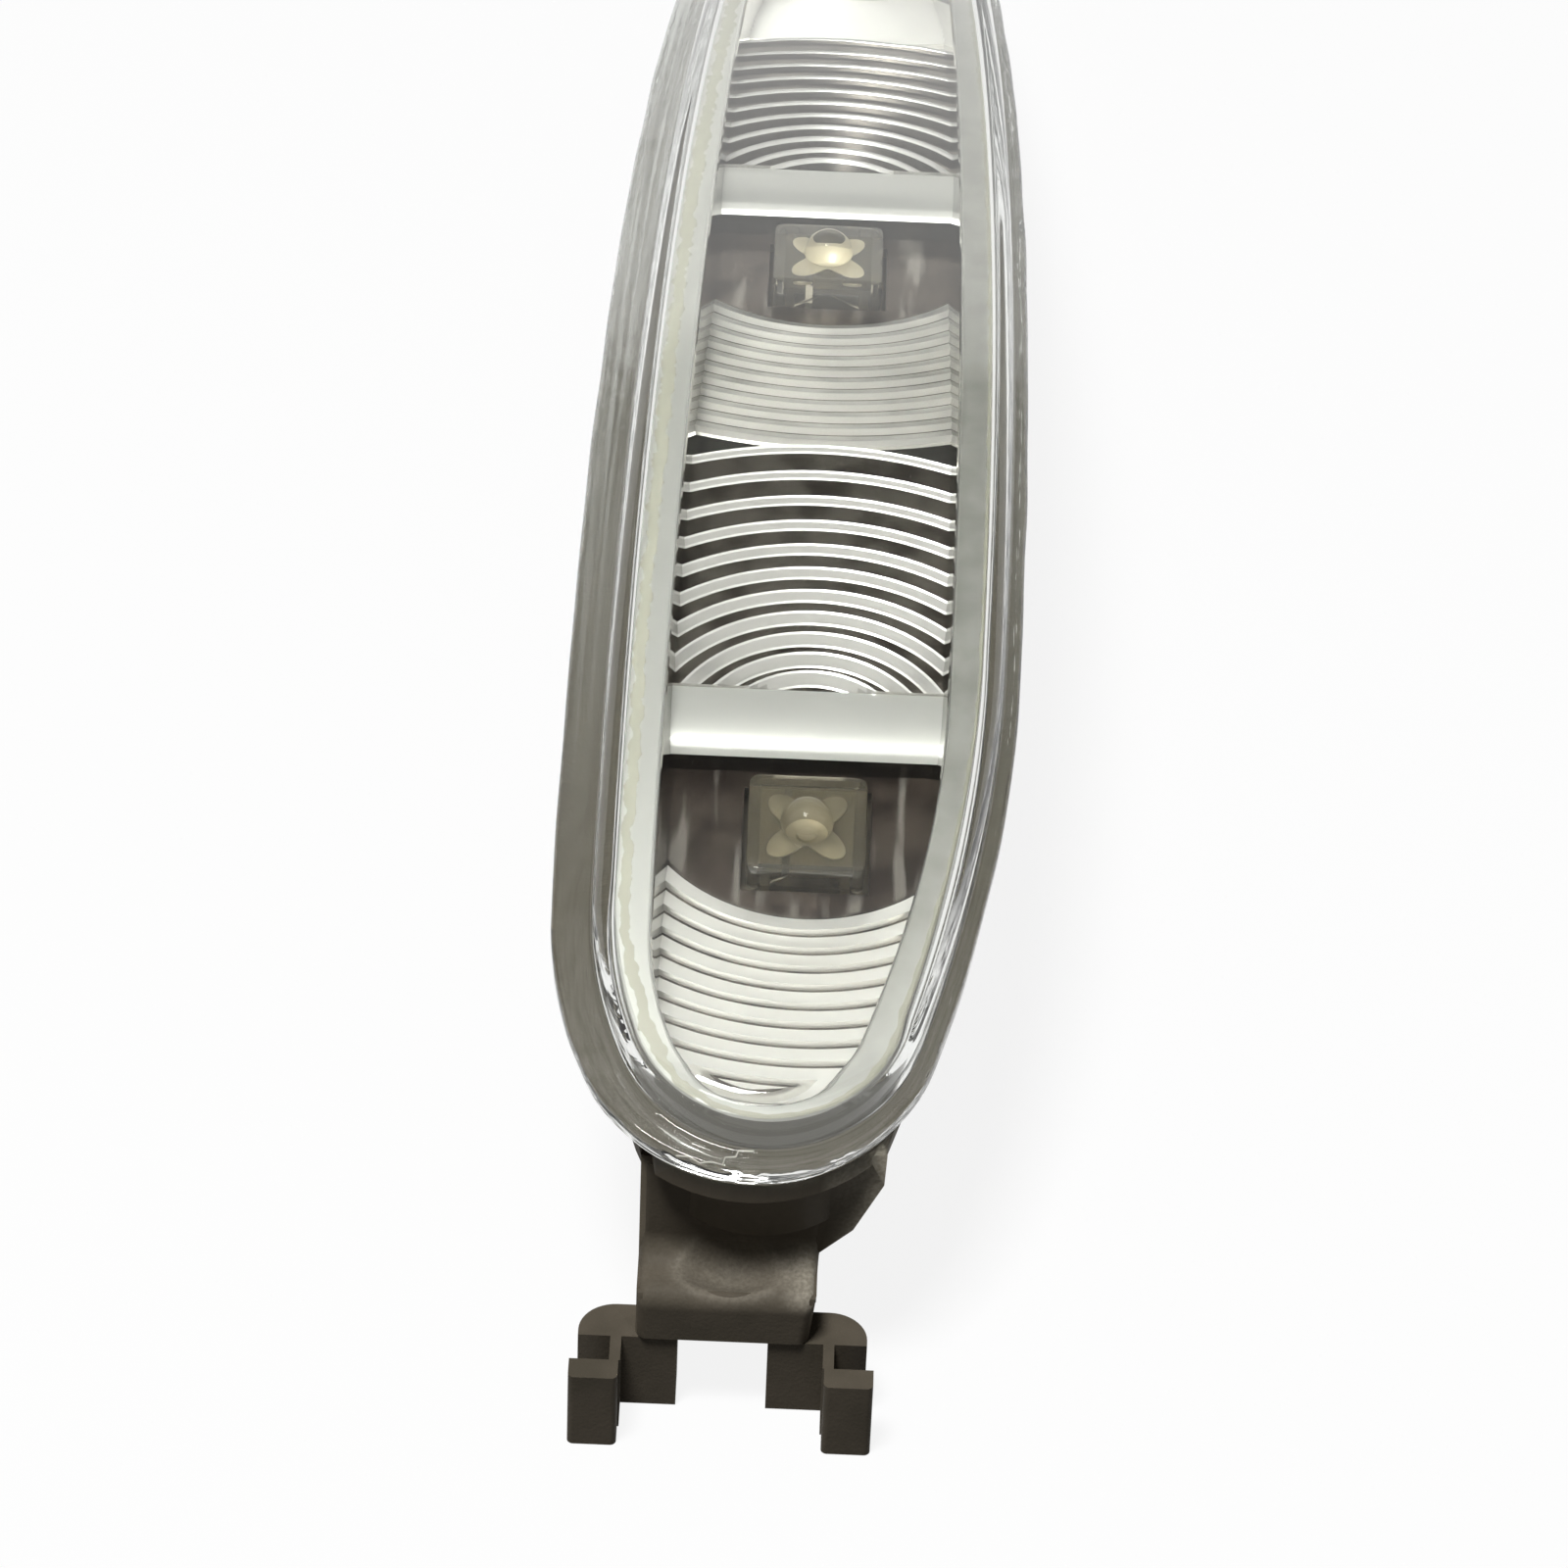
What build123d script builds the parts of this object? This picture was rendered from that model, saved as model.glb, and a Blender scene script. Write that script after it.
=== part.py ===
# Side repeater lamp for a door mirror: clear lens, stepped reflector, LEDs on a bent board and a housing
# with a clip foot.
# Units are millimetres. Heights are measured outwards from the reflector's floor, which is bent to one arc.
import os
from math import cos, radians, sin, sqrt

from build123d import *

# The arc that the whole lamp follows, and the row of LEDs along it
arch_radius = 200.0
led_places = {"near": -46.0, "middle": 10.0, "far": 66.0}
led_pitch = 56.0

# Weld flange outline, from the arc's top on the LED line: a near tip that runs into each long side by a
# shoulder arc, and a round far end. A turn is the tip arc's end, in degrees below the cross direction.
flange_tip = (-2.7, -60.1)
flange_tip_radius = 12.0
flange_left_shoulder = 28.0
flange_left_turn = 23.5
flange_right_shoulder = 105.0
flange_right_turn = 17.5
flange_far = (0.4, 81.0)
flange_far_radius = 10.0
flange_left_radius = 1368.0
flange_right_radius = 1056.0

# Trough outline of the reflector, at its rim
trough_tip = (-2.1, -61.81)
trough_tip_radius = 6.47
trough_left_shoulder = 20.3
trough_left_turn = 22.0
trough_right_shoulder = 79.3
trough_right_turn = 20.2
trough_far = (1.16, 80.6)
trough_far_radius = 5.8
trough_left_radius = 2009.0
trough_right_radius = 1572.0
trough_draft = 0.4
trough_flats = 8

# Stack of heights above the reflector's floor
seam_height = 2.3
housing_flange = 1.4
lens_flange = 1.3
crown_top = 6.9
crown_thick = 1.7
crown_drop = 0.7
rim_top = 4.6
rim_thick = 1.2
floor_thick = 1.2
board_gap = 0.3
board_thick = 0.8

# Lens
lens_step = 1.9
lens_lean = (0.76, -0.37)
lens_wall = 1.3
crown_fillet = 1.3

# Reflector
fit_clearance = 0.15
tub_wall = 0.75
skirt_wall = 1.0
land_top = 2.0
land_length = 20.0
land_lap = 0.1
end_flutes = {"near": 2, "middle": 0, "far": 0}
bar_offset = 5.45
bar_length = 4.9
bar_lap = 0.4
bar_front = 1.9
bar_middle = 2.3
bar_back = 2.4
window_side = 8.2
well_radius = 11.5
slope_lip = 0.1
slope_flutes = 11
slope_pitch = 1.505
slope_gain = 0.18
slope_tooth = 0.44
slope_return = 0.12
stair_start = 4.85
stair_flutes = 11
stair_first_pitch = 1.6
stair_pitch_gain = 0.1
stair_tread = 2.0
stair_first_rise = 0.8
stair_rise_loss = 0.04
stair_first_run = 0.75
stair_run_loss = 0.035
core_top = 1.0
core_wall = 1.3

# LED package, square with four legs
led_side = 7.62
led_bottom = -0.6
led_top = 1.9
led_dome_radius = 1.7
led_bevel = 0.9
leg_spacing = 5.08
leg_wide = 0.6
leg_thick = 0.4
leg_below_board = 1.2
frame_side = 6.0
frame_low = 0.6
frame_split = 0.5
cup_radius = 1.0

# Board and what it carries
leg_hole = 0.95
board_trim = 0.4
stake_places = (-22.0, 38.0)
stake_x = 6.6
stake_radius = 0.8
stake_hole = 0.95
stake_stand = 0.2
solder_gap = 0.06
resistor_size = (3.2, 6.3, 0.6)
resistor_places = {"near": -31.0, "far": 29.0}
diode_size = (2.7, 4.5, 2.2)
diode_place = -4.0

# Housing tray
flange_trim = 0.3
tray_wall = 1.1
ledge_inset = 2.4
ledge_thick = 1.2
tray_bottom = -9.3
tray_floor = 1.6
tray_fillet = 2.2

# Socket under the tray, and its two blades
socket_y = -17.0
socket_inside = (11.2, 7.4)
socket_wall = 1.3
socket_mouth = -24.0
socket_roof = 1.4
blade_x = 3.2
blade_thick = 0.8
blade_wide = 2.8
blade_recess = 2.5
blade_tail = 0.9
blade_slot = 0.15

# Arm and clip foot, from the arc's top on the LED line
foot_x = -4.0
arm_left = -9.5
arm_right_top = 2.7
arm_right_low = 1.4
arm_top = -11.0
arm_face = -69.0
arm_back = -60.0
shelf_height = -19.67
shelf_front = -72.74
wing_height = -23.31
leg_bottom = -29.12
wing_back = -69.83
wing_width = 18.2
wing_round = 2.4
leg_gap = 5.7
web_thick = 0.7
web_spacing = 13.4
guide_slot = 2.05
block_thick = 1.7
block_width = 3.1
block_spacing = 16.0
scoop_radius = 6.5
scoop_depth = 0.75
scoop_x = -3.7
hollow_radius = 12.0
hollow_depth = 0.6
arm_round = 0.6
block_round = 0.4
gusset_points = ((5.8, -10.6), (5.7, -13.0), (3.9, -16.9), (1.6, -19.2), (1.6, -10.6))
gusset_thick = 1.3

prism_low = -40.0
prism_height = 60.0
half_span = 40.0


# Centre of a long side arc that is tangent to both end circles: side is 1 for the left arc, -1 for the right
def side_centre(near, near_radius, far, far_radius, side_radius, side):
    reach = far - near
    span = reach.length
    along = reach / span
    across = Vector(along.Y, -along.X)
    to_near = side_radius - near_radius
    to_far = side_radius - far_radius
    step = (to_near**2 - to_far**2 + span**2) / (2 * span)
    return near + along * step + across * side * sqrt(to_near**2 - step**2)


# An outline: its tip, its far end, and for each long side the shoulder's radius and turn, and the arc radius
flange_shape = (
    flange_tip,
    flange_tip_radius,
    flange_far,
    flange_far_radius,
    (flange_left_shoulder, flange_left_turn, flange_left_radius),
    (flange_right_shoulder, flange_right_turn, flange_right_radius),
)
trough_shape = (
    trough_tip,
    trough_tip_radius,
    trough_far,
    trough_far_radius,
    (trough_left_shoulder, trough_left_turn, trough_left_radius),
    (trough_right_shoulder, trough_right_turn, trough_right_radius),
)


# Centres of an outline's shoulder arc and long arc, and the way from the tip's centre to where its arc ends
def side_arcs(shape, side, shift):
    tip, tip_radius, far, far_radius, left, right = shape
    shoulder, turn, long_radius = left if side == 1 else right
    tip = Vector(tip[0] + shift[0], tip[1] + shift[1])
    far = Vector(far[0] + shift[0], far[1] + shift[1])
    tip_end = Vector(-side * cos(radians(turn)), -sin(radians(turn)))
    shoulder_middle = tip - tip_end * (shoulder - tip_radius)
    long_middle = side_centre(shoulder_middle, shoulder, far, far_radius, long_radius, side)
    return shoulder_middle, long_middle, tip_end


# The origin is the middle of the lamp's footprint, at the height of the clip legs' ends
left_shoulder_middle, left_middle, left_tip_end = side_arcs(flange_shape, 1, (0, 0))
right_shoulder_middle, right_middle, right_tip_end = side_arcs(flange_shape, -1, (0, 0))
left_edge = min(left_middle.X - flange_left_radius, left_shoulder_middle.X - flange_left_shoulder)
right_edge = right_middle.X + flange_right_radius
slot_front = shelf_front - 0.1 - guide_slot
foot_front = slot_front - block_thick
far_tip = flange_far[1] + flange_far_radius
led_x = -(left_edge + right_edge) / 2
apex_y = -(foot_front + far_tip) / 2
apex_z = -leg_bottom

plan = Plane(origin=(led_x, apex_y, apex_z))
arch_axis = Axis((led_x, apex_y, apex_z - arch_radius), (1, 0, 0))
side_view = Plane(origin=(led_x, apex_y, apex_z), x_dir=(0, 1, 0), z_dir=(1, 0, 0))
front_view = Plane(origin=(led_x, apex_y, apex_z), x_dir=(1, 0, 0), z_dir=(0, -1, 0))


# Plane that touches the floor arc a given way along it, with its normal pointing outwards
def on_arc(along, height=0.0):
    angle = along / arch_radius
    out = (0, sin(angle), cos(angle))
    radius = arch_radius + height
    place = (led_x, apex_y + radius * out[1], apex_z + radius * out[2] - arch_radius)
    return Plane(origin=place, x_dir=(1, 0, 0), z_dir=out)


# Closed outline of a tip, two shoulders, two long arcs and a round far end, grown by a margin and moved.
# With flats, each long arc becomes that many straight runs, which the flutes meet cleanly.
def oval(shape, grow=0.0, shift=(0, 0), flats=0):
    tip, tip_radius, far, far_radius, left, right = shape
    tip = Vector(tip[0] + shift[0], tip[1] + shift[1])
    far = Vector(far[0] + shift[0], far[1] + shift[1])
    tip_ends = []
    far_ends = []
    with BuildSketch(plan.offset(prism_low)) as outline:
        with BuildLine():
            for (shoulder, turn, long_radius), side in ((left, 1), (right, -1)):
                shoulder_middle, long_middle, tip_end = side_arcs(shape, side, shift)
                long_way = (shoulder_middle - long_middle).normalized()
                half_way = (long_way + tip_end).normalized()
                start = tip + tip_end * (tip_radius + grow)
                halfway = shoulder_middle + half_way * (shoulder + grow)
                near_end = shoulder_middle + long_way * (shoulder + grow)
                far_end = far + (far - long_middle).normalized() * (far_radius + grow)
                radius = long_radius + grow
                ThreePointArc(start, halfway, near_end)
                if flats:
                    runs = [near_end + (far_end - near_end) * step / flats for step in range(flats + 1)]
                    bent = [long_middle + (point - long_middle).normalized() * radius for point in runs]
                    Polyline(*bent)
                else:
                    crest = long_middle + ((near_end + far_end) / 2 - long_middle).normalized() * radius
                    ThreePointArc(near_end, crest, far_end)
                tip_ends.append(start)
                far_ends.append(far_end)
            ThreePointArc(tip_ends[0], tip - Vector(0, tip_radius + grow), tip_ends[1])
            ThreePointArc(far_ends[0], far + Vector(0, far_radius + grow), far_ends[1])
        make_face()
    return outline.sketch


# Upright prism of an outline, kept between two heights that follow the arc
def arched(outline, low, high):
    with BuildSketch(side_view) as ring:
        with Locations((0, -arch_radius)):
            Circle(arch_radius + high)
            Circle(arch_radius + low, mode=Mode.SUBTRACT)
    with BuildPart() as block:
        extrude(outline, amount=prism_height)
        extrude(ring.sketch, amount=half_span, both=True, mode=Mode.INTERSECT)
    return block.part


# The same, with a top that also falls off to both sides
def crowned(outline, low, top, drop):
    half = right_edge
    with BuildSketch(front_view) as section:
        with BuildLine():
            ThreePointArc((-half, top - drop), (0, top), (half, top - drop))
            Polyline((half, top - drop), (half, low), (-half, low), (-half, top - drop))
        make_face()
    with BuildPart() as block:
        extrude(outline, amount=prism_height)
        revolve(section.sketch, axis=arch_axis, mode=Mode.INTERSECT)
    return block.part


# Fall of the floor arc below its touching plane
def arc_fall(reach):
    return arch_radius - sqrt(arch_radius**2 - reach**2)


# Half turn about the line where an LED's bar meets its well: -1 sweeps the near half, 1 the far half
def half_turn(unit, points, half):
    with BuildSketch(Plane(origin=unit.origin, x_dir=unit.x_dir, z_dir=-unit.y_dir)) as section:
        with BuildLine():
            Polyline(*points, close=True)
        make_face()
    with BuildPart() as sweep:
        revolve(section.sketch, axis=Axis(unit.origin, unit.z_dir * half), revolution_arc=180)
    return sweep.part


# Profile of the sloping flutes in front of an LED: fine saw teeth that climb away from the well
def slope_profile(flutes):
    points = [(well_radius, -floor_thick / 2 - arc_fall(well_radius))]
    points.append((well_radius, slope_lip - arc_fall(well_radius)))
    reach = well_radius
    for flute in range(flutes):
        reach = reach + slope_pitch
        crest = reach - slope_return
        level = (flute + 1) * slope_gain
        points.append((crest, level + slope_tooth - arc_fall(crest)))
        points.append((reach, level - arc_fall(reach)))
    points.append((reach, -floor_thick / 2 - arc_fall(reach)))
    return points


# Profile of the stair behind an LED's bar: flat treads, each ending in a facet that faces the LED
def stair_profile():
    points = [(0, -floor_thick / 2)]
    start = 0.0
    reach = stair_start
    for flute in range(stair_flutes):
        reach = reach + stair_first_pitch + flute * stair_pitch_gain
        facet = reach - stair_first_run + flute * stair_run_loss
        level = stair_tread - arc_fall((start + facet) / 2)
        points.append((start, level))
        points.append((facet, level))
        points.append((reach, level + stair_first_rise - flute * stair_rise_loss))
        start = reach
    points.append((reach, -floor_thick / 2 - arc_fall(reach)))
    points.append((reach / 2, -floor_thick / 2 - arc_fall(reach / 2)))
    return points


seam_outline = oval(flange_shape)
wall_grow = -lens_step
wall_outline = oval(flange_shape, wall_grow, lens_lean)
wall_inside = oval(flange_shape, wall_grow - lens_wall, lens_lean)
rim_outline = oval(flange_shape, wall_grow - lens_wall - fit_clearance, lens_lean)
skirt_inside = oval(flange_shape, wall_grow - lens_wall - fit_clearance - skirt_wall, lens_lean)
tub_outline = oval(trough_shape, tub_wall)
trough_outline = oval(trough_shape, flats=trough_flats)
trough_floor = oval(trough_shape, -trough_draft, flats=trough_flats)
core_outline = oval(trough_shape, -trough_draft - core_wall + tub_wall, flats=trough_flats)
mouth_outline = oval(trough_shape, tub_wall + fit_clearance)
tray_outline = oval(trough_shape, tub_wall + fit_clearance + tray_wall)
board_outline = oval(trough_shape, tub_wall - board_trim)
deep_inside = oval(trough_shape, -ledge_inset)
deep_outline = oval(trough_shape, tray_wall - ledge_inset)
weld_outline = oval(flange_shape, -flange_trim)

board_top = -floor_thick - board_gap
board_bottom = board_top - board_thick

# Lens: weld flange, side wall and domed crown
lens_rim = arched(seam_outline, seam_height, seam_height + lens_flange)
lens_cap = crowned(wall_outline, seam_height, crown_top, crown_drop)
lens_hollow = crowned(wall_inside, seam_height - 1, crown_top - crown_thick, crown_drop)
with BuildPart() as lens:
    add(lens_cap)
    crown = lens.faces().sort_by(SortBy.AREA)[-2:].sort_by(Axis.Z)[-1]
    fillet(crown.edges(), crown_fillet)
    add(lens_rim)
    add(lens_hollow, mode=Mode.SUBTRACT)
lens.part.label = "lens"

# Reflector infill for each LED: sloping flutes in front, bar and stair behind, flat land at the cusp
slope_reach = well_radius + slope_flutes * slope_pitch
stair_reach = led_pitch - slope_reach
stair_points = stair_profile()
with BuildPart() as trough_prism:
    extrude(trough_outline, amount=prism_height)
core_block = arched(core_outline, -2 * floor_thick, core_top)
infill = []
cores = []
for name, led_place in led_places.items():
    unit = on_arc(led_place + bar_offset)
    side_on = Plane(origin=unit.origin, x_dir=unit.y_dir, z_dir=unit.x_dir)
    bar_back_line = unit.origin + unit.y_dir * (bar_length - bar_lap)
    past_bar = Plane(origin=bar_back_line, x_dir=unit.x_dir, z_dir=unit.y_dir)
    slope = half_turn(unit, slope_profile(slope_flutes + end_flutes[name]), -1)
    stair = split(half_turn(unit, stair_points, 1), bisect_by=past_bar, keep=Keep.TOP)
    infill.append(slope & trough_prism.part)
    infill.append(stair & trough_prism.part)
    with BuildSketch(side_on) as section:
        with BuildLine():
            ThreePointArc((0, bar_front), (bar_length / 2, bar_middle), (bar_length, bar_back))
            Polyline(
                (bar_length, bar_back), (bar_length, -floor_thick / 2), (0, -floor_thick / 2), (0, bar_front)
            )
        make_face()
    with BuildPart() as bar:
        extrude(section.sketch, amount=half_span, both=True)
    infill.append(bar.part & trough_prism.part)
    core_length = stair_reach - 2 * core_wall
    with BuildSketch(unit.offset(-half_span / 2)) as area:
        with Locations((0, core_wall + core_length / 2)):
            Rectangle(half_span, core_length)
    with BuildPart() as core:
        extrude(area.sketch, amount=half_span)
        add(core_block, mode=Mode.INTERSECT)
    cores.append(core.part)
lands = []
for led_place in list(led_places.values())[:-1]:
    unit = on_arc(led_place + bar_offset)
    next_unit = on_arc(led_place + bar_offset + led_pitch)
    cusp = on_arc(led_place + bar_offset + stair_reach, -floor_thick / 2)
    with BuildPart() as land:
        with BuildSketch(cusp) as area:
            Rectangle(half_span, land_length)
        extrude(area.sketch, amount=land_top + floor_thick / 2)
        with BuildSketch(unit.offset(-half_span / 2)) as stair_disc:
            Circle(stair_reach - land_lap)
        extrude(stair_disc.sketch, amount=half_span, mode=Mode.SUBTRACT)
        with BuildSketch(next_unit.offset(-half_span / 2)) as slope_disc:
            Circle(slope_reach - land_lap)
        extrude(slope_disc.sketch, amount=half_span, mode=Mode.SUBTRACT)
    lands.append(land.part & trough_prism.part)

# Reflector: rim with a skirt that stands on the housing, trough, infill, LED windows
rim_plate = arched(rim_outline, seam_height, rim_top)
rim_hollow = arched(skirt_inside, seam_height - 1, rim_top - rim_thick)
tub = arched(tub_outline, -floor_thick, rim_top)
trough = arched(trough_floor, 0, rim_top + 1)
with BuildPart() as reflector:
    add(rim_plate)
    add(rim_hollow, mode=Mode.SUBTRACT)
    add(tub)
    add(trough, mode=Mode.SUBTRACT)
    for piece in infill + lands:
        add(piece)
    for core in cores:
        add(core, mode=Mode.SUBTRACT)
    for led_place in led_places.values():
        with BuildSketch(on_arc(led_place, -3 * floor_thick)) as window:
            Rectangle(window_side, window_side)
        extrude(window.sketch, amount=6 * floor_thick, mode=Mode.SUBTRACT)
reflector.part.label = "reflector"

# LEDs: clear square body with a dome, round a two-piece lead frame with four legs
led_bodies = {}
led_frames = {}
leg_end = board_bottom - leg_below_board
for name, led_place in led_places.items():
    with BuildPart() as frame:
        with BuildSketch(on_arc(led_place, frame_low)) as plates:
            Rectangle(frame_side, frame_side)
            with Locations((frame_split / 2 - cup_radius - frame_split, 0)):
                Rectangle(frame_split, frame_side, mode=Mode.SUBTRACT)
        extrude(plates.sketch, amount=leg_thick)
        with BuildSketch(on_arc(led_place, leg_end)) as legs:
            with GridLocations(leg_spacing, leg_spacing, 2, 2):
                Rectangle(leg_wide, leg_thick)
        extrude(legs.sketch, amount=frame_low + leg_thick / 2 - leg_end)
        with BuildSketch(on_arc(led_place, frame_low + leg_thick / 3)) as cup:
            Circle(cup_radius * 0.6)
        extrude(cup.sketch, amount=leg_thick, taper=-30, mode=Mode.SUBTRACT)
    with BuildPart() as body:
        with BuildSketch(on_arc(led_place, led_bottom)) as square:
            Rectangle(led_side, led_side)
            chamfer(square.vertices().group_by(Axis.X)[-1].sort_by(Axis.Y)[-1], led_bevel)
        extrude(square.sketch, amount=led_top - led_bottom)
        with Locations(on_arc(led_place, led_top)):
            Sphere(led_dome_radius, arc_size1=0)
        add(frame.part, mode=Mode.SUBTRACT)
    led_frames[name] = frame.part
    led_bodies[name] = body.part

# Board, bent to the arc, with holes for the LED legs, the stakes and the blades
board_blank = arched(board_outline, board_bottom, board_top)
with BuildPart() as circuit_board:
    add(board_blank)
    for led_place in led_places.values():
        with BuildSketch(on_arc(led_place, board_bottom - 1)) as holes:
            with GridLocations(leg_spacing, leg_spacing, 2, 2):
                Circle(leg_hole / 2)
        extrude(holes.sketch, amount=board_thick + 2, mode=Mode.SUBTRACT)
    for stake_place in stake_places:
        with BuildSketch(on_arc(stake_place, board_bottom - 1)) as holes:
            with Locations((-stake_x, 0), (stake_x, 0)):
                Circle(stake_hole)
        extrude(holes.sketch, amount=board_thick + 2, mode=Mode.SUBTRACT)
    with BuildSketch(plan.offset(prism_low)) as slots:
        with Locations((-blade_x, socket_y), (blade_x, socket_y)):
            Rectangle(blade_thick + 2 * blade_slot, blade_wide + 2 * blade_slot)
    extrude(slots.sketch, amount=prism_height, mode=Mode.SUBTRACT)
circuit_board.part.label = "circuit_board"

resistors = {}
for name, place in resistor_places.items():
    wide, long, thick = resistor_size
    with BuildPart() as resistor:
        with BuildSketch(on_arc(place, board_bottom - solder_gap - thick)) as chip:
            Rectangle(wide, long)
        extrude(chip.sketch, amount=thick)
    resistors[name] = resistor.part

with BuildPart() as diode:
    wide, long, thick = diode_size
    with BuildSketch(on_arc(diode_place, board_bottom - solder_gap - thick)) as chip:
        Rectangle(wide, long)
    extrude(chip.sketch, amount=thick)
    chamfer(diode.edges().filter_by(Axis.X).group_by(Axis.Z)[0], thick / 5)
diode.part.label = "diode"

# Blade terminals, upright, moulded into the tray's floor
blade_low = socket_mouth + blade_recess
blade_high = sqrt((arch_radius + board_top) ** 2 - socket_y**2) - arch_radius + blade_tail
blades = {}
for name, place in (("live", -blade_x), ("earth", blade_x)):
    with BuildPart() as blade:
        with BuildSketch(plan.offset(blade_low)) as section:
            with Locations((place, socket_y)):
                Rectangle(blade_thick, blade_wide)
        extrude(section.sketch, amount=blade_high - blade_low)
    blades[name] = blade.part

# Housing: weld flange, tray with a ledge for the board, socket, arm and clip foot
weld_plate = arched(weld_outline, seam_height - housing_flange, seam_height)
tray_upper = arched(tray_outline, board_bottom - ledge_thick, seam_height)
tray_lower = arched(deep_outline, tray_bottom, board_bottom)
with BuildPart() as tray:
    add(tray_lower)
    belly = tray.faces().sort_by(SortBy.AREA)[-2:].sort_by(Axis.Z)[0]
    fillet(belly.edges(), tray_fillet)
mouth_hollow = arched(mouth_outline, board_bottom, seam_height + 1)
deep_hollow = arched(deep_inside, tray_bottom + tray_floor, seam_height + 1)

with BuildSketch(side_view.offset(-half_span)) as arm_side:
    with BuildLine():
        Polyline(
            (arm_back, arm_top),
            (arm_face, arm_top),
            (arm_face, shelf_height),
            (shelf_front, shelf_height),
            (shelf_front, wing_height),
            (arm_back, wing_height),
            close=True,
        )
    make_face()
with BuildSketch(front_view.offset(-arm_back)) as arm_front:
    with BuildLine():
        Polyline(
            (arm_left, arm_top),
            (arm_right_top, arm_top),
            (arm_right_low, wing_height),
            (arm_left, wing_height),
            close=True,
        )
    make_face()
wall_plane = Plane(origin=plan.from_local_coords((0, arm_face, 0)), x_dir=(1, 0, 0), z_dir=(0, -1, 0))
with BuildPart() as scoop:
    with Locations(plan.from_local_coords((scoop_x, arm_face, shelf_height + scoop_radius - scoop_depth))):
        Sphere(scoop_radius)
    split(bisect_by=wall_plane, keep=Keep.TOP)
with BuildPart() as arm:
    extrude(arm_side.sketch, amount=2 * half_span)
    extrude(arm_front.sketch, amount=half_span, mode=Mode.INTERSECT)
    add(scoop.part, mode=Mode.SUBTRACT)
    with BuildSketch(plan.offset(shelf_height)) as hollow:
        with Locations((scoop_x, arm_face - hollow_radius + hollow_depth)):
            Circle(hollow_radius)
    extrude(hollow.sketch, amount=arm_top - shelf_height, mode=Mode.SUBTRACT)
    arm_nose = arm.faces().sort_by(Axis.Y)[0]
    fillet(arm_nose.edges().sort_by(Axis.Z)[1:], arm_round)

with BuildPart() as foot:
    with BuildSketch(plan.offset(leg_bottom)) as section:
        with Locations((foot_x, (wing_back + shelf_front) / 2)):
            Rectangle(wing_width, wing_back - shelf_front)
        fillet(section.vertices().group_by(Axis.Y)[-1], wing_round)
        with Locations((foot_x, (shelf_front + slot_front) / 2)):
            with GridLocations(web_spacing, 1, 2, 1):
                Rectangle(web_thick, shelf_front - slot_front)
        with Locations((foot_x, slot_front - block_thick / 2)):
            with GridLocations(block_spacing, 1, 2, 1):
                Rectangle(block_width, block_thick)
        with Locations((foot_x, (wing_back + shelf_front) / 2)):
            Rectangle(leg_gap, 2 * (wing_back - shelf_front), mode=Mode.SUBTRACT)
    extrude(section.sketch, amount=wing_height - leg_bottom)
    fillet(foot.edges().filter_by(Axis.Z).group_by(Axis.Y)[0], block_round)

with BuildSketch(front_view.offset(-arm_face)) as gusset:
    with BuildLine():
        Polyline(*gusset_points, close=True)
    make_face()

with BuildPart() as housing:
    add(weld_plate)
    add(tray_upper)
    add(tray.part)
    add(arm.part)
    add(foot.part)
    extrude(gusset.sketch, amount=-gusset_thick)
    with BuildSketch(plan.offset(socket_mouth)) as shroud:
        with Locations((0, socket_y)):
            Rectangle(socket_inside[0] + 2 * socket_wall, socket_inside[1] + 2 * socket_wall)
        fillet(shroud.vertices(), socket_wall)
    socket_top = tray_bottom + tray_floor / 2
    extrude(shroud.sketch, amount=socket_top - socket_mouth)
    add(mouth_hollow, mode=Mode.SUBTRACT)
    add(deep_hollow, mode=Mode.SUBTRACT)
    with BuildSketch(plan.offset(socket_mouth)) as socket:
        with Locations((0, socket_y)):
            Rectangle(socket_inside[0], socket_inside[1])
    extrude(socket.sketch, amount=tray_bottom - socket_roof - socket_mouth, mode=Mode.SUBTRACT)
    for stake_place in stake_places:
        with BuildSketch(on_arc(stake_place, board_bottom - ledge_thick / 2)) as stakes:
            with Locations((-stake_x, 0), (stake_x, 0)):
                Circle(stake_radius)
        extrude(stakes.sketch, amount=ledge_thick / 2 + board_thick + stake_stand)
    for blade in blades.values():
        add(blade, mode=Mode.SUBTRACT)
housing.part.label = "housing"

os.makedirs("parts", exist_ok=True)
export_step(lens.part, "parts/lens.step")
export_step(reflector.part, "parts/reflector.step")
export_step(housing.part, "parts/housing.step")
export_step(circuit_board.part, "parts/circuit_board.step")
export_step(diode.part, "parts/diode.step")
for name, body in led_bodies.items():
    body.label = "led_" + name
    export_step(body, "parts/led_" + name + ".step")
for name, frame in led_frames.items():
    frame.label = "lead_frame_" + name
    export_step(frame, "parts/lead_frame_" + name + ".step")
for name, resistor in resistors.items():
    resistor.label = "resistor_" + name
    export_step(resistor, "parts/resistor_" + name + ".step")
for name, blade in blades.items():
    blade.label = "terminal_" + name
    export_step(blade, "parts/terminal_" + name + ".step")
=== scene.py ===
from functools import partial
from math import cos, radians, sin, sqrt

import bmesh
import bpy
import numpy as np
from mathutils import Matrix, Vector


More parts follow.
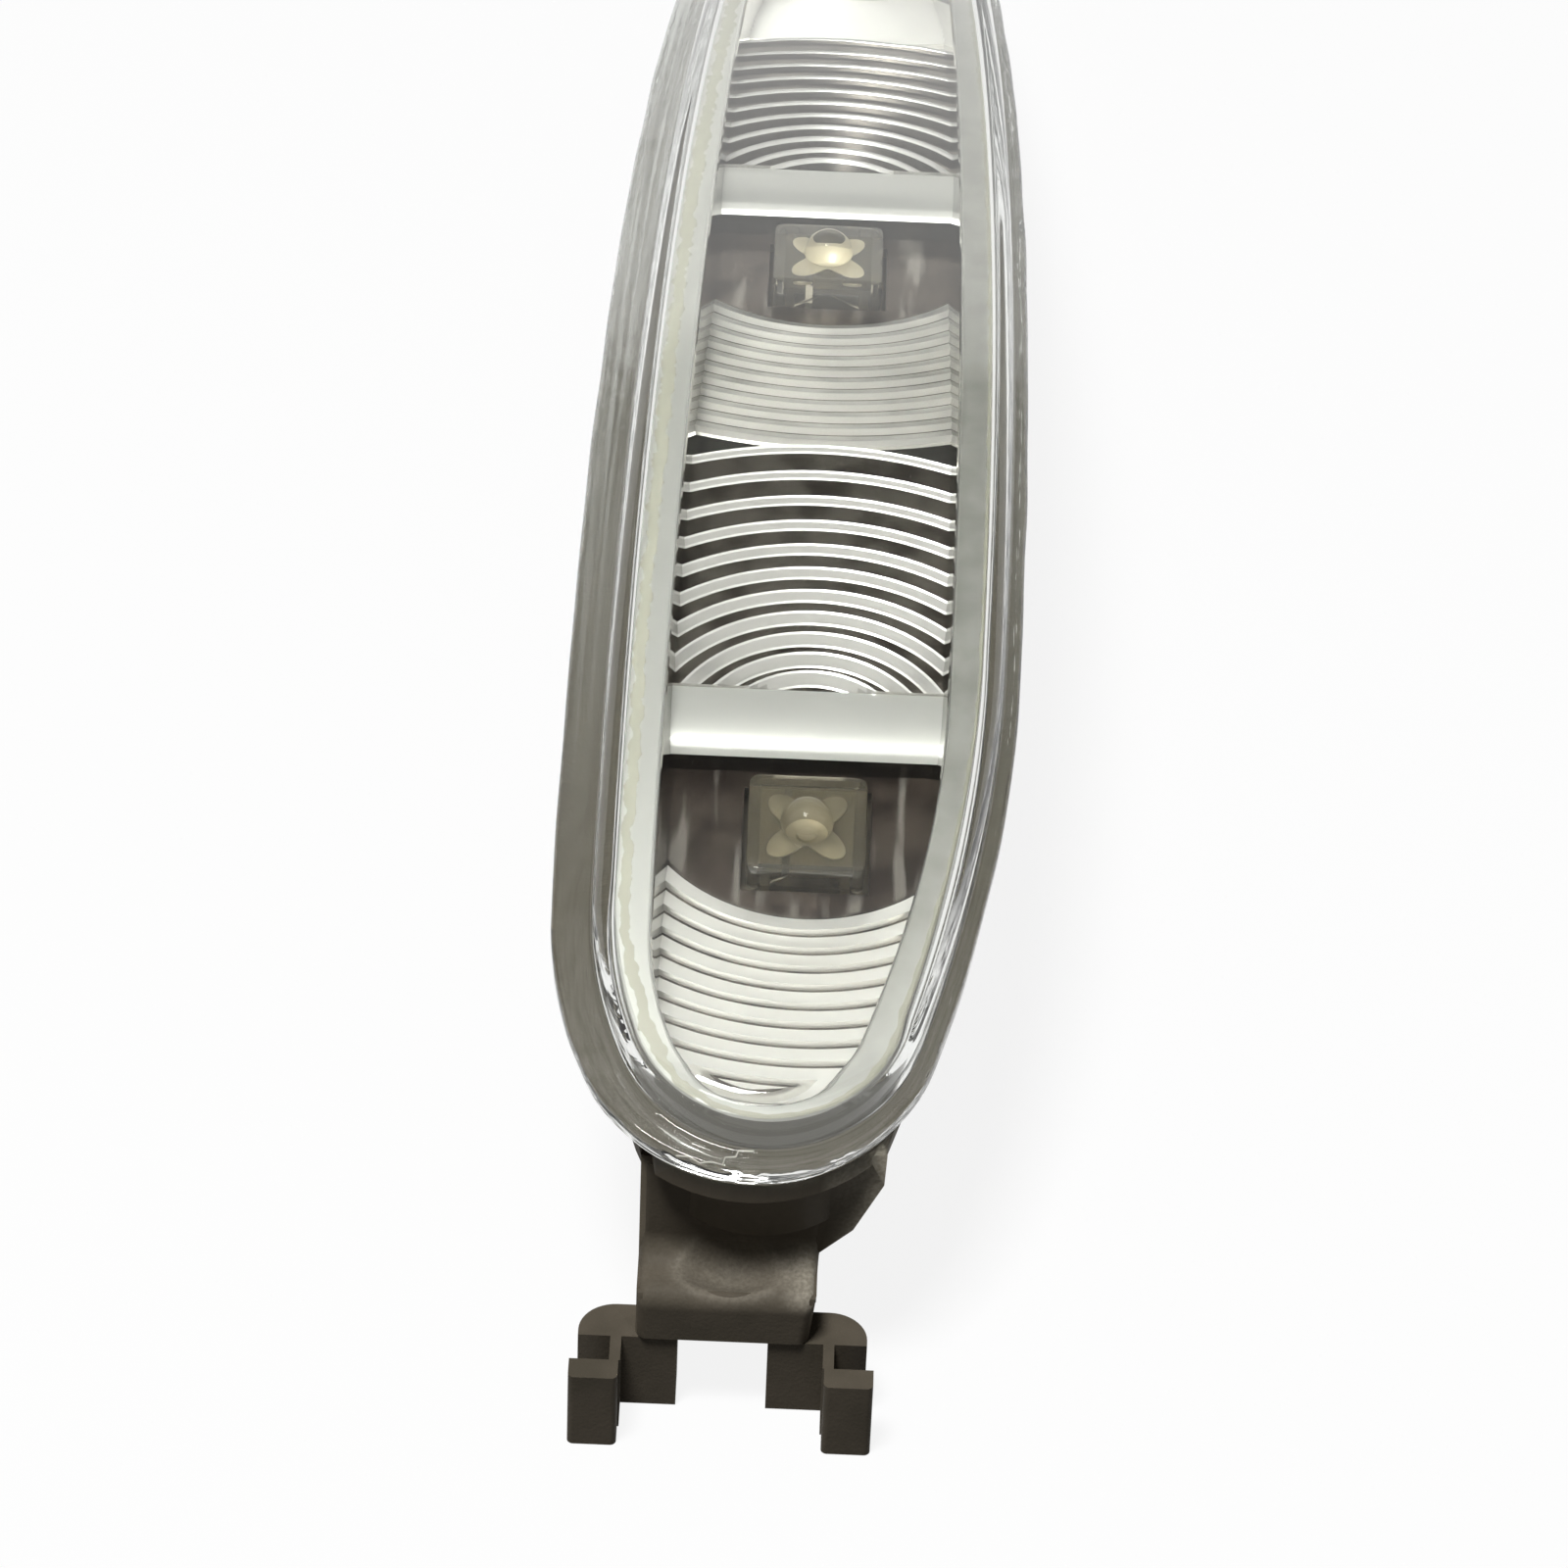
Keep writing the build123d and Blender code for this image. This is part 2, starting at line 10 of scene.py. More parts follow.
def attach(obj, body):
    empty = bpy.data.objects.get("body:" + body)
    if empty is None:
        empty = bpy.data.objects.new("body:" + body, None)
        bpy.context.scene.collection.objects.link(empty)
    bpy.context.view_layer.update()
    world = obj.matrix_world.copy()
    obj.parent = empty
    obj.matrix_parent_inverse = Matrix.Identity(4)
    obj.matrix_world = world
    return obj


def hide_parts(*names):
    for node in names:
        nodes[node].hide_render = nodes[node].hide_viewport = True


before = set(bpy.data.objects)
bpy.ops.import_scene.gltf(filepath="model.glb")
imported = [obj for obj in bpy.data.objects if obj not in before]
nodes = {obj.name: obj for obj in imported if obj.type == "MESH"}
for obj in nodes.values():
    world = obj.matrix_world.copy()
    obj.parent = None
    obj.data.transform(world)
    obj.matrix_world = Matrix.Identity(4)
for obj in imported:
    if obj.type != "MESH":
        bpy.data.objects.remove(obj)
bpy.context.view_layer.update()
print("frame loaded:", len(nodes), "nodes")

# The lamp follows one arc about a cross axis. Plan points and heights are in mm from the arc's top
# on the LED line.
lampArc = dict(apex=(1.02555, -7.205, 29.12), radius=200.0)
arcRadius = lampArc["radius"]
ledPlaces = dict(near=-46.0, middle=10.0, far=66.0)

# Long outlines in plan: a near tip, a round far end, and per side the shoulder's radius and turn and
# the long arc
flangeShape = dict(
    tip=(-2.7, -60.1), tipRadius=12.0, far=(0.4, 81.0), farRadius=10.0, left=(28.0, 23.5, 1368.0),
    right=(105.0, 17.5, 1056.0),
)
troughShape = dict(
    tip=(-2.1, -61.81), tipRadius=6.47, far=(1.16, 80.6), farRadius=5.8, left=(20.3, 22.0, 2009.0),
    right=(79.3, 20.2, 1572.0),
)

# node settings that recur
times = {"operation": "MULTIPLY"}
timesPlus = {"operation": "MULTIPLY_ADD"}
largest = {"operation": "MAXIMUM"}
blend = {"data_type": "RGBA"}
flatNoise = {"noise_dimensions": "2D"}


def linear(hexColour):
    # sRGB hex to linear RGBA
    raw = np.array([int(hexColour[i:i + 2], 16) for i in (1, 3, 5)]) / 255.0
    out = np.where(raw <= 0.04045, raw / 12.92, ((raw + 0.055) / 1.055) ** 2.4)
    return (*out, 1.0)


def addNode(tree, kind, inputs=(), **settings):
    # one shader node: its attributes, and its inputs in order or by name, each a value, a hex colour, a
    # node for that node's first output, or (node, output)
    node = tree.nodes.new("ShaderNode" + kind)
    for key, value in settings.items():
        setattr(node, key, value)
    for key, value in inputs.items() if isinstance(inputs, dict) else enumerate(inputs):
        source, output = value if isinstance(value, tuple) and len(value) == 2 else (value, 0)
        if isinstance(source, bpy.types.Node):
            tree.links.new(source.outputs[output], node.inputs[key])
        else:
            node.inputs[key].default_value = linear(value) if isinstance(value, str) else value
    return node


def nodesOf(owner):
    # empties the owner's node tree and gives addNode for it
    owner.use_nodes = True
    owner.node_tree.nodes.clear()
    return partial(addNode, owner.node_tree)


def newMaterial(name):
    material = bpy.data.materials.new(name)
    return material, nodesOf(material)


def patternScale(millimetres):
    # texture scale per metre for a pattern of this size
    return 1000.0 / millimetres


def toMetres(points):
    # mm from the arc's top to metres in the row frame
    return (points + np.array(lampArc["apex"])) / 1000.0


def toFrame(x, y, height):
    # plan point and height above the floor arc, in mm, to metres in the row frame:
    # the arc's circle grown by the height gives z over that y
    x, y, height = np.broadcast_arrays(np.asarray(x, float), y, height)
    z = np.sqrt((arcRadius + height) ** 2 - y ** 2) - arcRadius
    return toMetres(together(x, y, z))


def arcFall(reach):
    # how far the arc falls below its touching plane at this reach
    return arcRadius - np.sqrt(arcRadius ** 2 - np.asarray(reach, float) ** 2)


def together(*parts):
    # arrays of like shape along a new last axis
    return np.stack(parts, axis=-1)


def unitWay(way):
    return way / np.linalg.norm(way, axis=-1, keepdims=True)


def fullTurn(count):
    return np.linspace(0, 2 * np.pi, count, endpoint=False)


def circleWays(angles):
    return together(np.cos(angles), np.sin(angles))


def planePoint(place, x, v, n):
    # mm from the arc's top of a point beside (x), along (v) and over (n) the plane that touches the arc
    # at this length along it
    angle = place / arcRadius
    y = arcRadius * sin(angle) + v * cos(angle) + n * sin(angle)
    z = arcRadius * (cos(angle) - 1) - v * sin(angle) + n * cos(angle)
    return together(x, y, z)


def sideArcs(shape, side):
    # arcs of one long side, each (centre, radius, first way out, last way out); side 1 is the left one,
    # -1 the right
    tip, far = np.array(shape["tip"]), np.array(shape["far"])
    shoulder, turn, big = shape["left" if side == 1 else "right"]
    tipEnd = np.array([-side * cos(radians(turn)), -sin(radians(turn))])
    bend = tip - tipEnd * (shoulder - shape["tipRadius"])
    reach = far - bend
    span = np.linalg.norm(reach)
    along = reach / span
    across = np.array([along[1], -along[0]])
    near, end = big - shoulder, big - shape["farRadius"]
    step = (near ** 2 - end ** 2 + span ** 2) / (2 * span)
    middle = bend + along * step + across * side * sqrt(near ** 2 - step ** 2)
    bendEnd, longEnd = unitWay(bend - middle), unitWay(far - middle)
    return ((tip, shape["tipRadius"], np.array([0.0, -1.0]), tipEnd), (bend, shoulder, tipEnd, bendEnd),
            (middle, big, bendEnd, longEnd), (far, shape["farRadius"], longEnd, np.array([0.0, 1.0])))


def loopCurve(shape, counts=(24, 24, 90, 24)):
    # centres, radii and outward ways round the outline, from the near tip up the left side to the far
    # tip and back down the right side; a loop grown by g is centre + (radius + g) * way
    halves = []
    for side in (1, -1):
        runs = []
        for (centre, radius, start, end), count in zip(sideArcs(shape, side), counts):
            turn = np.arctan2(start[0] * end[1] - start[1] * end[0], start @ end)
            angles = np.arctan2(start[1], start[0]) + turn * np.linspace(0, 1, count)
            ways = circleWays(angles)
            runs.append((np.broadcast_to(centre, ways.shape), np.full(count, radius), ways))
        halves.append([np.concatenate([run[k][min(i, 1):] for i, run in enumerate(runs)])
                       for k in range(3)])
    left, right = halves
    return [np.concatenate([left[k], right[k][-2:0:-1]]) for k in range(3)], len(left[1])


def loopPoints(curve, grow, shift=(0.0, 0.0)):
    centres, radii, ways = curve
    points = centres + (radii + grow)[:, None] * ways + np.array(shift)
    return points[:, 0], points[:, 1]


def edgeX(shape, grow, side, y):
    # x of the outline's left (1) or right (-1) edge at each y, from whichever arc holds that y
    y = np.asarray(y, float)
    x = np.zeros_like(y)
    for centre, radius, start, end in sideArcs(shape, side):
        low, high = centre[1] + start[1] * (radius + grow), centre[1] + end[1] * (radius + grow)
        edge = centre[0] - side * np.sqrt(np.maximum((radius + grow) ** 2 - (y - centre[1]) ** 2, 0))
        x = np.where((y >= low) & (y <= high), edge, x)
    return x


def addObject(name, data):
    piece = bpy.data.objects.new(name, data)
    bpy.context.scene.collection.objects.link(piece)
    return piece


def addValues(mesh, values):
    # float attributes by name, each (domain, numbers)
    for key, (domain, numbers) in values.items():
        layer = mesh.attributes.new(key, "FLOAT", domain)
        layer.data.foreach_set("value", np.asarray(numbers, np.float32))


def shadeSmooth(mesh, crisp):
    # edges sharper than the angle stay crisp
    mesh.polygons.foreach_set("use_smooth", np.ones(len(mesh.polygons), bool))
    mesh.set_sharp_from_angle(angle=radians(crisp))


def buildMesh(name, points, faces, material, crisp, values=None):
    # one object at the origin, from points in metres and arrays of faces
    mesh = bpy.data.meshes.new(name)
    mesh.from_pydata(points.reshape(-1, 3), [], [face for part in faces for face in part.tolist()])
    shadeSmooth(mesh, crisp)
    mesh.materials.append(material)
    addValues(mesh, values or {})
    piece = addObject(name, mesh)
    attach(piece, "root")
    return piece


def quadsOf(index):
    # quads of a grid of point numbers
    return together(index[:-1, :-1], index[:-1, 1:], index[1:, 1:], index[1:, :-1]).reshape(-1, 4)


def gridFaces(rows, columns, start=0, closed=False):
    # quads of a rows x columns grid of points; closed joins the last column to the first
    index = start + np.arange(rows * columns).reshape(rows, columns)
    return quadsOf(np.concatenate([index, index[:, :1]], axis=1) if closed else index)


def poledFaces(rows, columns):
    # closed loops with a pole before the first loop and one after the last
    ring = np.arange(columns)
    following = np.roll(ring, -1)
    low, top = rows * columns, (rows - 1) * columns
    lowFan = together(np.full(columns, low), following, ring)
    highFan = together(top + ring, top + following, np.full(columns, low + 1))
    return [gridFaces(rows, columns, closed=True), lowFan, highFan]


# Camera: fitted to the square LEDs in the photograph, in mm from the arc's top
view = dict(
    place=(-1.584, -374.93, 268.25), elevation=39.179, roll=2.375, focalPixels=6792.26, pixels=1600,
    sensor=36.0, clipStart=0.01,
)


def addCamera():
    camera = bpy.data.cameras.new("camera")
    camera.sensor_width = view["sensor"]
    camera.lens = view["sensor"] * view["focalPixels"] / view["pixels"]
    camera.clip_start = view["clipStart"]
    holder = addObject("camera", camera)
    lift, roll = radians(view["elevation"]), radians(view["roll"])
    back = Vector((0, -cos(lift), sin(lift)))
    right, up = Vector((1, 0, 0)), Vector((0, sin(lift), cos(lift)))
    ways = (right * cos(roll) + up * sin(roll), up * cos(roll) - right * sin(roll), back)
    place = Matrix.Translation(toMetres(np.array(view["place"])))
    holder.matrix_world = place @ Matrix(ways).transposed().to_4x4()
    bpy.context.scene.camera = holder


addCamera()
print("camera placed")

# Lens: a closed shell of loops, from the inside of the wall round the flange and over the crown
lensSizes = dict(
    seam=2.3, gap=0.15, flange=1.3, step=1.9, lean=(0.76, -0.37), wall=1.3, crownTop=6.88, crownThick=1.7,
    crownDrop=0.7, crownHalf=13.98, crownFillet=1.3, innerFillet=0.5, flangeFillet=0.35, filletSteps=7,
    hold=0.08, acrossSteps=24, edgeWander=0.1, edgeWaves=((17, 0), (29, 1), (41, 2)), underFrost=0.7,
    frostFall=1.6, crownInset=9.0, crisp=30.0,
)


def crownHeight(x, top):
    # the crown falls off to both sides as a flat parabola
    return top - lensSizes["crownDrop"] * (np.asarray(x) / lensSizes["crownHalf"]) ** 2


def makeLens(material):
    s = lensSizes
    curve, half = loopCurve(flangeShape)
    count = len(curve[1])
    loops, frost, inset = [], [], []

    def addLoop(grow, shift, height, rough=0.0, crowned=False):
        x, y = loopPoints(curve, grow, shift)
        loops.append(toFrame(x, y, crownHeight(x, height) if crowned else height))
        frost.append(np.full(count, rough))
        inset.append(np.broadcast_to(-np.asarray(grow, float), count))

    # the weld has left the flange's edge a little uneven: a few waves round the outline, inwards only
    circle = fullTurn(count)
    waves = sum(np.sin(number * circle + start) for number, start in s["edgeWaves"])
    wander = -s["edgeWander"] * (0.5 + waves / (2 * len(s["edgeWaves"])))
    wallGrow = -s["step"]
    insideGrow = wallGrow - s["wall"]
    innerTop = s["crownTop"] - s["crownThick"]
    lean, small, inner, big = s["lean"], s["flangeFillet"], s["innerFillet"], s["crownFillet"]
    # steps of a fillet: share of its radius back from the first side and from the second, and the frost
    turns = np.linspace(0, np.pi / 2, s["filletSteps"])
    steps = list(zip(1 - np.cos(turns), 1 - np.sin(turns), 1 - s["frostFall"] * turns / np.pi))
    # inside, from the crown's edge down the wall
    for first, second, _ in steps[::-1]:
        addLoop(insideGrow - inner * first, lean, innerTop - inner * second, crowned=True)
    under = s["seam"] + s["gap"]
    addLoop(insideGrow, lean, under)
    # underside and edge of the flange
    addLoop(wallGrow, lean, under, s["underFrost"])
    addLoop(-small, (0, 0), under, 1.0)
    for first, second, _ in steps[1:]:
        addLoop(-small * second + wander, (0, 0), under + small * first, 1.0)
    flangeTop = s["seam"] + s["flange"]
    for first, second, rough in steps:
        addLoop(-small * first + wander, (0, 0), flangeTop - small * second, rough)
    # two loops keep the flange flat, then the corner to the wall, up and over the crown's edge
    addLoop(-small - s["hold"] + wander, (0, 0), flangeTop)
    addLoop(wallGrow + small + s["hold"], lean, flangeTop)
    for first, second, _ in steps:
        addLoop(wallGrow + small * second, lean, flangeTop + small * first)
    for first, second, _ in steps:
        addLoop(wallGrow - big * first, lean, s["crownTop"] - big * second, crowned=True)
    points = [np.concatenate(loops)]
    faces = [gridFaces(len(loops), count, closed=True)[:, ::-1]]
    # the two crown sheets span from the left half of their loop to its right half
    across = np.linspace(0, 1, s["acrossSteps"] + 1)[1:-1]
    left = np.arange(1, half - 1)
    right = count - left
    shape = (len(left), len(across))
    size = len(left) * len(across)
    base = len(loops) * count
    for loopIndex, grow, top, inside in (
            (0, insideGrow - inner, innerTop, True),
            (len(loops) - 1, wallGrow - big, s["crownTop"], False)):
        x, y = loopPoints(curve, grow, lean)
        sheetX = x[left][:, None] * (1 - across) + x[right][:, None] * across
        sheetY = y[left][:, None] * (1 - across) + y[right][:, None] * across
        points.append(toFrame(sheetX, sheetY, crownHeight(sheetX, top)).reshape(-1, 3))
        middle = base + np.arange(size).reshape(shape)
        start = loopIndex * count
        index = np.concatenate([(start + left)[:, None], middle, (start + right)[:, None]], axis=1)
        tips = np.full(len(across) + 1, start)
        nearFan = together(tips, index[0][1:], index[0][:-1])
        farFan = together(index[-1][:-1], index[-1][1:], tips + half - 1)
        for part in (quadsOf(index), nearFan, farFan):
            faces.append(part[:, ::-1] if inside else part)
        frost.append(np.zeros(size))
        inset.append(np.full(size, s["crownInset"]))
        base += size
    values = {"frost": ("POINT", np.concatenate(frost)), "inset": ("POINT", np.concatenate(inset))}
    return buildMesh("lensShell", np.concatenate(points), faces, material, s["crisp"], values)


# Reflector: a rim ring and one floor sheet, whose rows follow the wells, bars, flutes and lands
reflectorSizes = dict(
    seam=2.3, rimTop=4.6, rimGrow=-3.35, lean=(0.76, -0.37), floor=1.2, draft=0.75, wallSink=0.1,
    edge=0.15, skirtIn=1.0, skirtRow=6, barOffset=5.45, barLength=4.9,
    barProfile=((0.0, 1.45), (0.3, 1.72), (0.8, 1.98), (1.5, 2.17), (2.5, 2.3), (3.7, 2.38), (4.9, 2.42)),
    barSteps=(9, 11), wellRadius=11.5, wellSteps=9, window=8.2, windowParts=(0.125, 0.875), slopeLip=0.1,
    slopeFlutes=11, slopePitch=1.505, slopeGain=0.18, slopeTooth=0.44, slopeReturn=0.12, slopeLine=0.22,
    endFlutes={"near": 2, "middle": 0, "far": 0}, stairStart=4.85, stairFlutes=11, stairPitch=1.6,
    stairGain=0.1, stairTread=2.0, stairRise=0.8, riseLoss=0.04, stairRun=0.75, runLoss=0.035,
    landTop=2.0, rootEase=0.1, crestEase=0.15, crestDrop=0.62, rootShade=0.55, sideColumns=16,
    windowColumns=14, narrow=0.6, outside=13.0, halvings=40, margin=0.45, back=(0.0, 0.3, -0.9),
    sideShade=0.75, tipShade=0.3, wallShade=0.55, slopeShade=0.8, borderIn=0.45, borderWidth=0.78,
    borderLean=0.23, borderTip=0.3, skirtBorder=-2.0, sheetBorder=9.0, crisp=12.0,
)


def stationRows():
    # every row of the floor sheet, near end first: (LED place, kind, reach, height over the touching
    # plane, zone)
    s = reflectorSizes
    rows = []
    barV, barN = np.array(s["barProfile"]).T
    wallSteps, topSteps = s["barSteps"]
    for name, place in ledPlaces.items():

        def addNear(reach, level, zone):
            rows.append((place, "nearArc", reach, level - arcFall(reach), zone))

        flutes = s["slopeFlutes"] + s["endFlutes"][name]
        reach = s["wellRadius"] + flutes * s["slopePitch"]
        if name != "near":
            addNear(reach, s["landTop"], "slope")
        for flute in range(flutes, 0, -1):
            level = flute * s["slopeGain"]
            crest, top = reach - s["slopeReturn"], level + s["slopeTooth"]
            addNear(reach, level, "return")
            addNear(crest, top, "slope")
            # the facet runs down to the next return's foot, with a thin line of painted shade along it
            reach, level = reach - s["slopePitch"], level - s["slopeGain"]
            line = s["slopeLine"]
            addNear(reach + line, level + (top - level) * line / (crest - reach), "line")
        addNear(reach, s["slopeLip"], "well")
        # well floor rows in painted shade; the last row, where the floor meets the bar, takes the roots'
        # darker painted shade
        for part in np.linspace(0, 1, s["wellSteps"]):
            rows.append((place, "floor", part, 0.0, "well" if part < 1 else "root"))
        # bar: upright wall, then a smooth curve through the profile's points
        for v in np.concatenate([np.linspace(0, 1, wallSteps),
                                 np.linspace(1, s["barLength"], topSteps)[1:]]):
            rows.append((place, "line", v, np.interp(v, barV, barN), "bar"))
        start, reach = 0.0, s["stairStart"]
        root, crest = s["rootEase"], s["crestEase"]
        # the middle LED's stair roots are painted dark as painted shade
        rootZone = "root" if name == "middle" else "facet"
        for flute in range(s["stairFlutes"]):
            reach += s["stairPitch"] + flute * s["stairGain"]
            facet = reach - s["stairRun"] + flute * s["runLoss"]
            level = s["stairTread"] - arcFall((start + facet) / 2)
            rise = s["stairRise"] - flute * s["riseLoss"]
            slope = rise / (reach - facet)
            dark = facet + s["rootShade"] * (reach - facet)
            # tread, eased root, facet, eased crest
            for distance, height, zone in (
                    (start, level, "tread"), (facet - root, level, rootZone),
                    (facet + root / 2, level + slope * root / 2, rootZone),
                    (dark, level + slope * (dark - facet), "facet"),
                    (reach - crest, level + rise - slope * crest, "facet"),
                    (reach, level + rise - slope * crest * s["crestDrop"], "land")):
                rows.append((place, "farArc", distance, height, zone))
            start = reach
        rows.append((place, "farArc", reach, s["landTop"] - arcFall(reach), "land"))
    return rows


def rowPlace(row, x):
    # distance v along the touching plane and height n over it, for each x of a row; arcs are circles about
    # the bar's middle, so v is the root of reach squared less x squared
    s = reflectorSizes
    kind, reach, height = row[1:4]
    x = np.asarray(x, float)
    if kind == "line":
        return np.full_like(x, reach), np.full_like(x, height)
    if kind == "farArc":
        arc = np.sqrt(np.maximum(reach ** 2 - x ** 2, 0))
        return np.maximum(arc, s["barLength"]), np.full_like(x, height)
    if kind == "nearArc":
        return -np.sqrt(np.maximum(reach ** 2 - x ** 2, 0)), np.full_like(x, height)
    # floor rows run straight past the window and follow the well's round edge in front of it
    arc = -np.sqrt(np.maximum(s["wellRadius"] ** 2 - x ** 2, 0))
    half = s["window"] / 2
    windowNear, windowFar = -s["barOffset"] - half, -s["barOffset"] + half
    first, last = s["windowParts"]
    arcHalf = -sqrt(s["wellRadius"] ** 2 - half ** 2)
    straight = np.interp(reach, (0, first, last, 1), (arcHalf, windowNear, windowFar, 0))
    inside = np.where(reach <= first, arc + (windowNear - arc) * reach / first, straight)
    v = np.where(np.abs(x) <= half + 1e-6, inside, arc * straight / arcHalf)
    return v, -arcFall(v)


def rowPoint(row, x):
    return planePoint(row[0] + reflectorSizes["barOffset"], x, *rowPlace(row, x))


def rowEnds(row):
    # where a row meets the trough's walls, by halving the span between the LED line and the outside
    s = reflectorSizes
    ends = []
    for side in (1, -1):
        inside, outside = 0.0, -side * s["outside"]
        for _ in range(s["halvings"]):
            middle = (inside + outside) / 2
            y = rowPoint(row, middle)[1]
            wall = edgeX(troughShape, -s["draft"] / 2, side, y)
            if (middle - wall) * side > 0:
                inside = middle
            else:
                outside = middle
        ends.append(inside)
    return ends


def rimRing():
    # loops of the ring with their border and satin values: up the drafted wall, over the rim, down the
    # skirt; the bare border is wide and set in on the left, narrow on the right, a line at the tip
    s = reflectorSizes
    curve, rimCurve = loopCurve(troughShape)[0], loopCurve(flangeShape)[0]
    count, ways = len(curve[1]), rimCurve[2]
    edge, rimTop = s["edge"], s["rimTop"]
    outer = together(*loopPoints(rimCurve, s["rimGrow"], s["lean"]))
    tipPart = np.maximum(-ways[:, 1], 0) ** 2
    borderStart = np.clip(-ways[:, 0], 0, 1) * s["borderIn"] * (1 - tipPart)
    borderWidth = (s["borderWidth"] - s["borderLean"] * ways[:, 0]) * (1 - tipPart)
    borderWidth += s["borderTip"] * tipPart
    loops, border, satin = [], [], []
    for grow, height, soft in ((-s["draft"] - s["wallSink"], -s["floor"] / 2, 0.0),
                               (-edge, rimTop - edge * 2, 0.0),
                               (-edge * 0.3, rimTop - edge * 0.4, 0.5), (edge, rimTop, 1.0)):
        x, y = loopPoints(curve, grow)
        loops.append(toFrame(x, y, height))
        distance = np.linalg.norm(together(x, y) - outer, axis=-1)
        border.append((distance - borderStart) / borderWidth)
        satin.append(np.full(count, soft))
    for inset, height in ((edge, rimTop), (edge * 0.3, rimTop - edge * 0.3), (0.0, rimTop - edge),
                          (0.0, s["seam"]), (s["skirtIn"], s["seam"])):
        loops.append(toFrame(*loopPoints(rimCurve, s["rimGrow"] - inset, s["lean"]), height))
        onTop = height > rimTop - edge / 2
        border.append((inset - borderStart) / borderWidth if onTop else np.full(count, s["skirtBorder"]))
        satin.append(np.ones(count))
    # painted shade: darker film on the right-hand rim, at the tip and on the trough's wall
    right = np.clip(ways[:, 0], 0, 1)
    shade = np.tile(s["sideShade"] * right + s["tipShade"] * tipPart * (1 - right), len(loops) - 1)
    shade = np.where(np.arange(len(shade)) < count, np.maximum(shade, s["wallShade"]), shade)
    return loops, border, satin, shade


def makeReflector(material):
    s = reflectorSizes
    loops, border, satin, ringShade = rimRing()
    count = len(loops[0])
    base = len(loops) * count
    ring = gridFaces(len(loops), count, closed=True)
    first, last = np.arange(count), base - count + np.arange(count)
    closing = together(last, np.roll(last, -1), np.roll(first, -1), first)
    # the skirt and the closing strip under it are dark
    zones = [np.where(np.arange(len(ring)) // count >= s["skirtRow"], "skirt", "land"),
             np.full(len(closing), "skirt")]
    shades = [ringShade, np.zeros(len(closing))]
    # floor sheet
    window = s["window"] / 2
    lowest = troughShape["tip"][1] - troughShape["tipRadius"] + s["margin"]
    highest = troughShape["far"][1] + troughShape["farRadius"] - s["margin"]
    rows = [row for row in stationRows() if lowest < rowPoint(row, 0.0)[1] < highest]
    sheet, hollow = [], []
    sides, middles = s["sideColumns"], s["windowColumns"]
    columns = 2 * sides + middles + 1
    for row in rows:
        left, right = rowEnds(row)
        innerLeft, innerRight = max(-window, left * s["narrow"]), min(window, right * s["narrow"])
        x = np.concatenate([np.linspace(left, innerLeft, sides, endpoint=False),
                            np.linspace(innerLeft, innerRight, middles + 1),
                            np.linspace(innerRight, right, sides + 1)[1:]])
        sheet.append(toMetres(rowPoint(row, x)))
        hollow.append(row[1] == "floor" and s["windowParts"][0] <= row[2] < s["windowParts"][1])
    sheet = np.concatenate(sheet)
    quads = gridFaces(len(rows), columns, base).reshape(len(rows) - 1, columns - 1, 4)
    column = np.arange(columns - 1)
    inWindow = (column >= sides) & (column < sides + middles)
    keep = ~(np.array(hollow[:-1])[:, None] & inWindow)
    # the thin lines take the treads' painted shade
    likeZone = {"line": "tread", "return": "slope"}
    rowZone = np.array([likeZone.get(row[4], row[4]) for row in rows[:-1]])
    # the middle LED's slopes get painted shade
    paintedShade = [row[4] == "slope" and row[0] == ledPlaces["middle"] for row in rows[:-1]]
    rowShade = np.where(paintedShade, s["slopeShade"], 0.0)
    # the sheet's back, and strips along its free edges: those that no other quad runs the other way
    quads = quads[keep]
    edges = np.concatenate([quads[:, [corner, (corner + 1) % 4]] for corner in range(4)])
    total = base + len(sheet)
    free = edges[~np.isin(edges[:, 0] * total + edges[:, 1], edges[:, 1] * total + edges[:, 0])]
    behind = free + len(sheet)
    strips = together(free[:, 1], free[:, 0], behind[:, 0], behind[:, 1])
    points = np.concatenate(loops + [sheet, sheet + np.array(s["back"]) / 1000.0])
    faces = [ring, closing, quads, (quads + len(sheet))[:, ::-1], strips]
    hidden = len(quads) + len(strips)
    kept = keep.sum(axis=1)
    zone = np.concatenate(zones + [np.repeat(rowZone, kept), np.full(hidden, "skirt")])
    shades += [np.repeat(rowShade, kept), np.zeros(hidden)]
    values = {key: ("FACE", zone == key) for key in metalLook["zones"] if key != "satin"}
    values["border"] = ("POINT", np.concatenate(border + [np.full(2 * len(sheet), s["sheetBorder"])]))
    values["satin"] = ("POINT", np.concatenate(satin + [np.zeros(2 * len(sheet))]))
    values["shade"] = ("FACE", np.concatenate(shades))
    return buildMesh("reflectorShell", points, faces, material, s["crisp"], values)


# LEDs: one closed shell each, square with rounded corners below, dome above
ledSizes = dict(
    half=3.81, bottom=-0.6, top=1.9, dome=1.7, edge=0.18, squareness=14.0, flatFrom=0.15, flatSteps=5,
    domeSteps=14, points=120, crisp=40.0,
)


def buildTurned(name, place, loops, ends, material, crisp):
    # closed shell of (flat loop, height) round an LED's axis, with a pole at each end's height
    loops = [np.column_stack([flat, np.full(len(flat), height)]) for flat, height in loops]
    poles = [[(0, 0, height) for height in ends]]
    x, v, n = np.concatenate(loops + poles).T
    points = toMetres(planePoint(place, x, v, n))
    return buildMesh(name, points, poledFaces(len(loops), len(loops[0])), material, crisp)


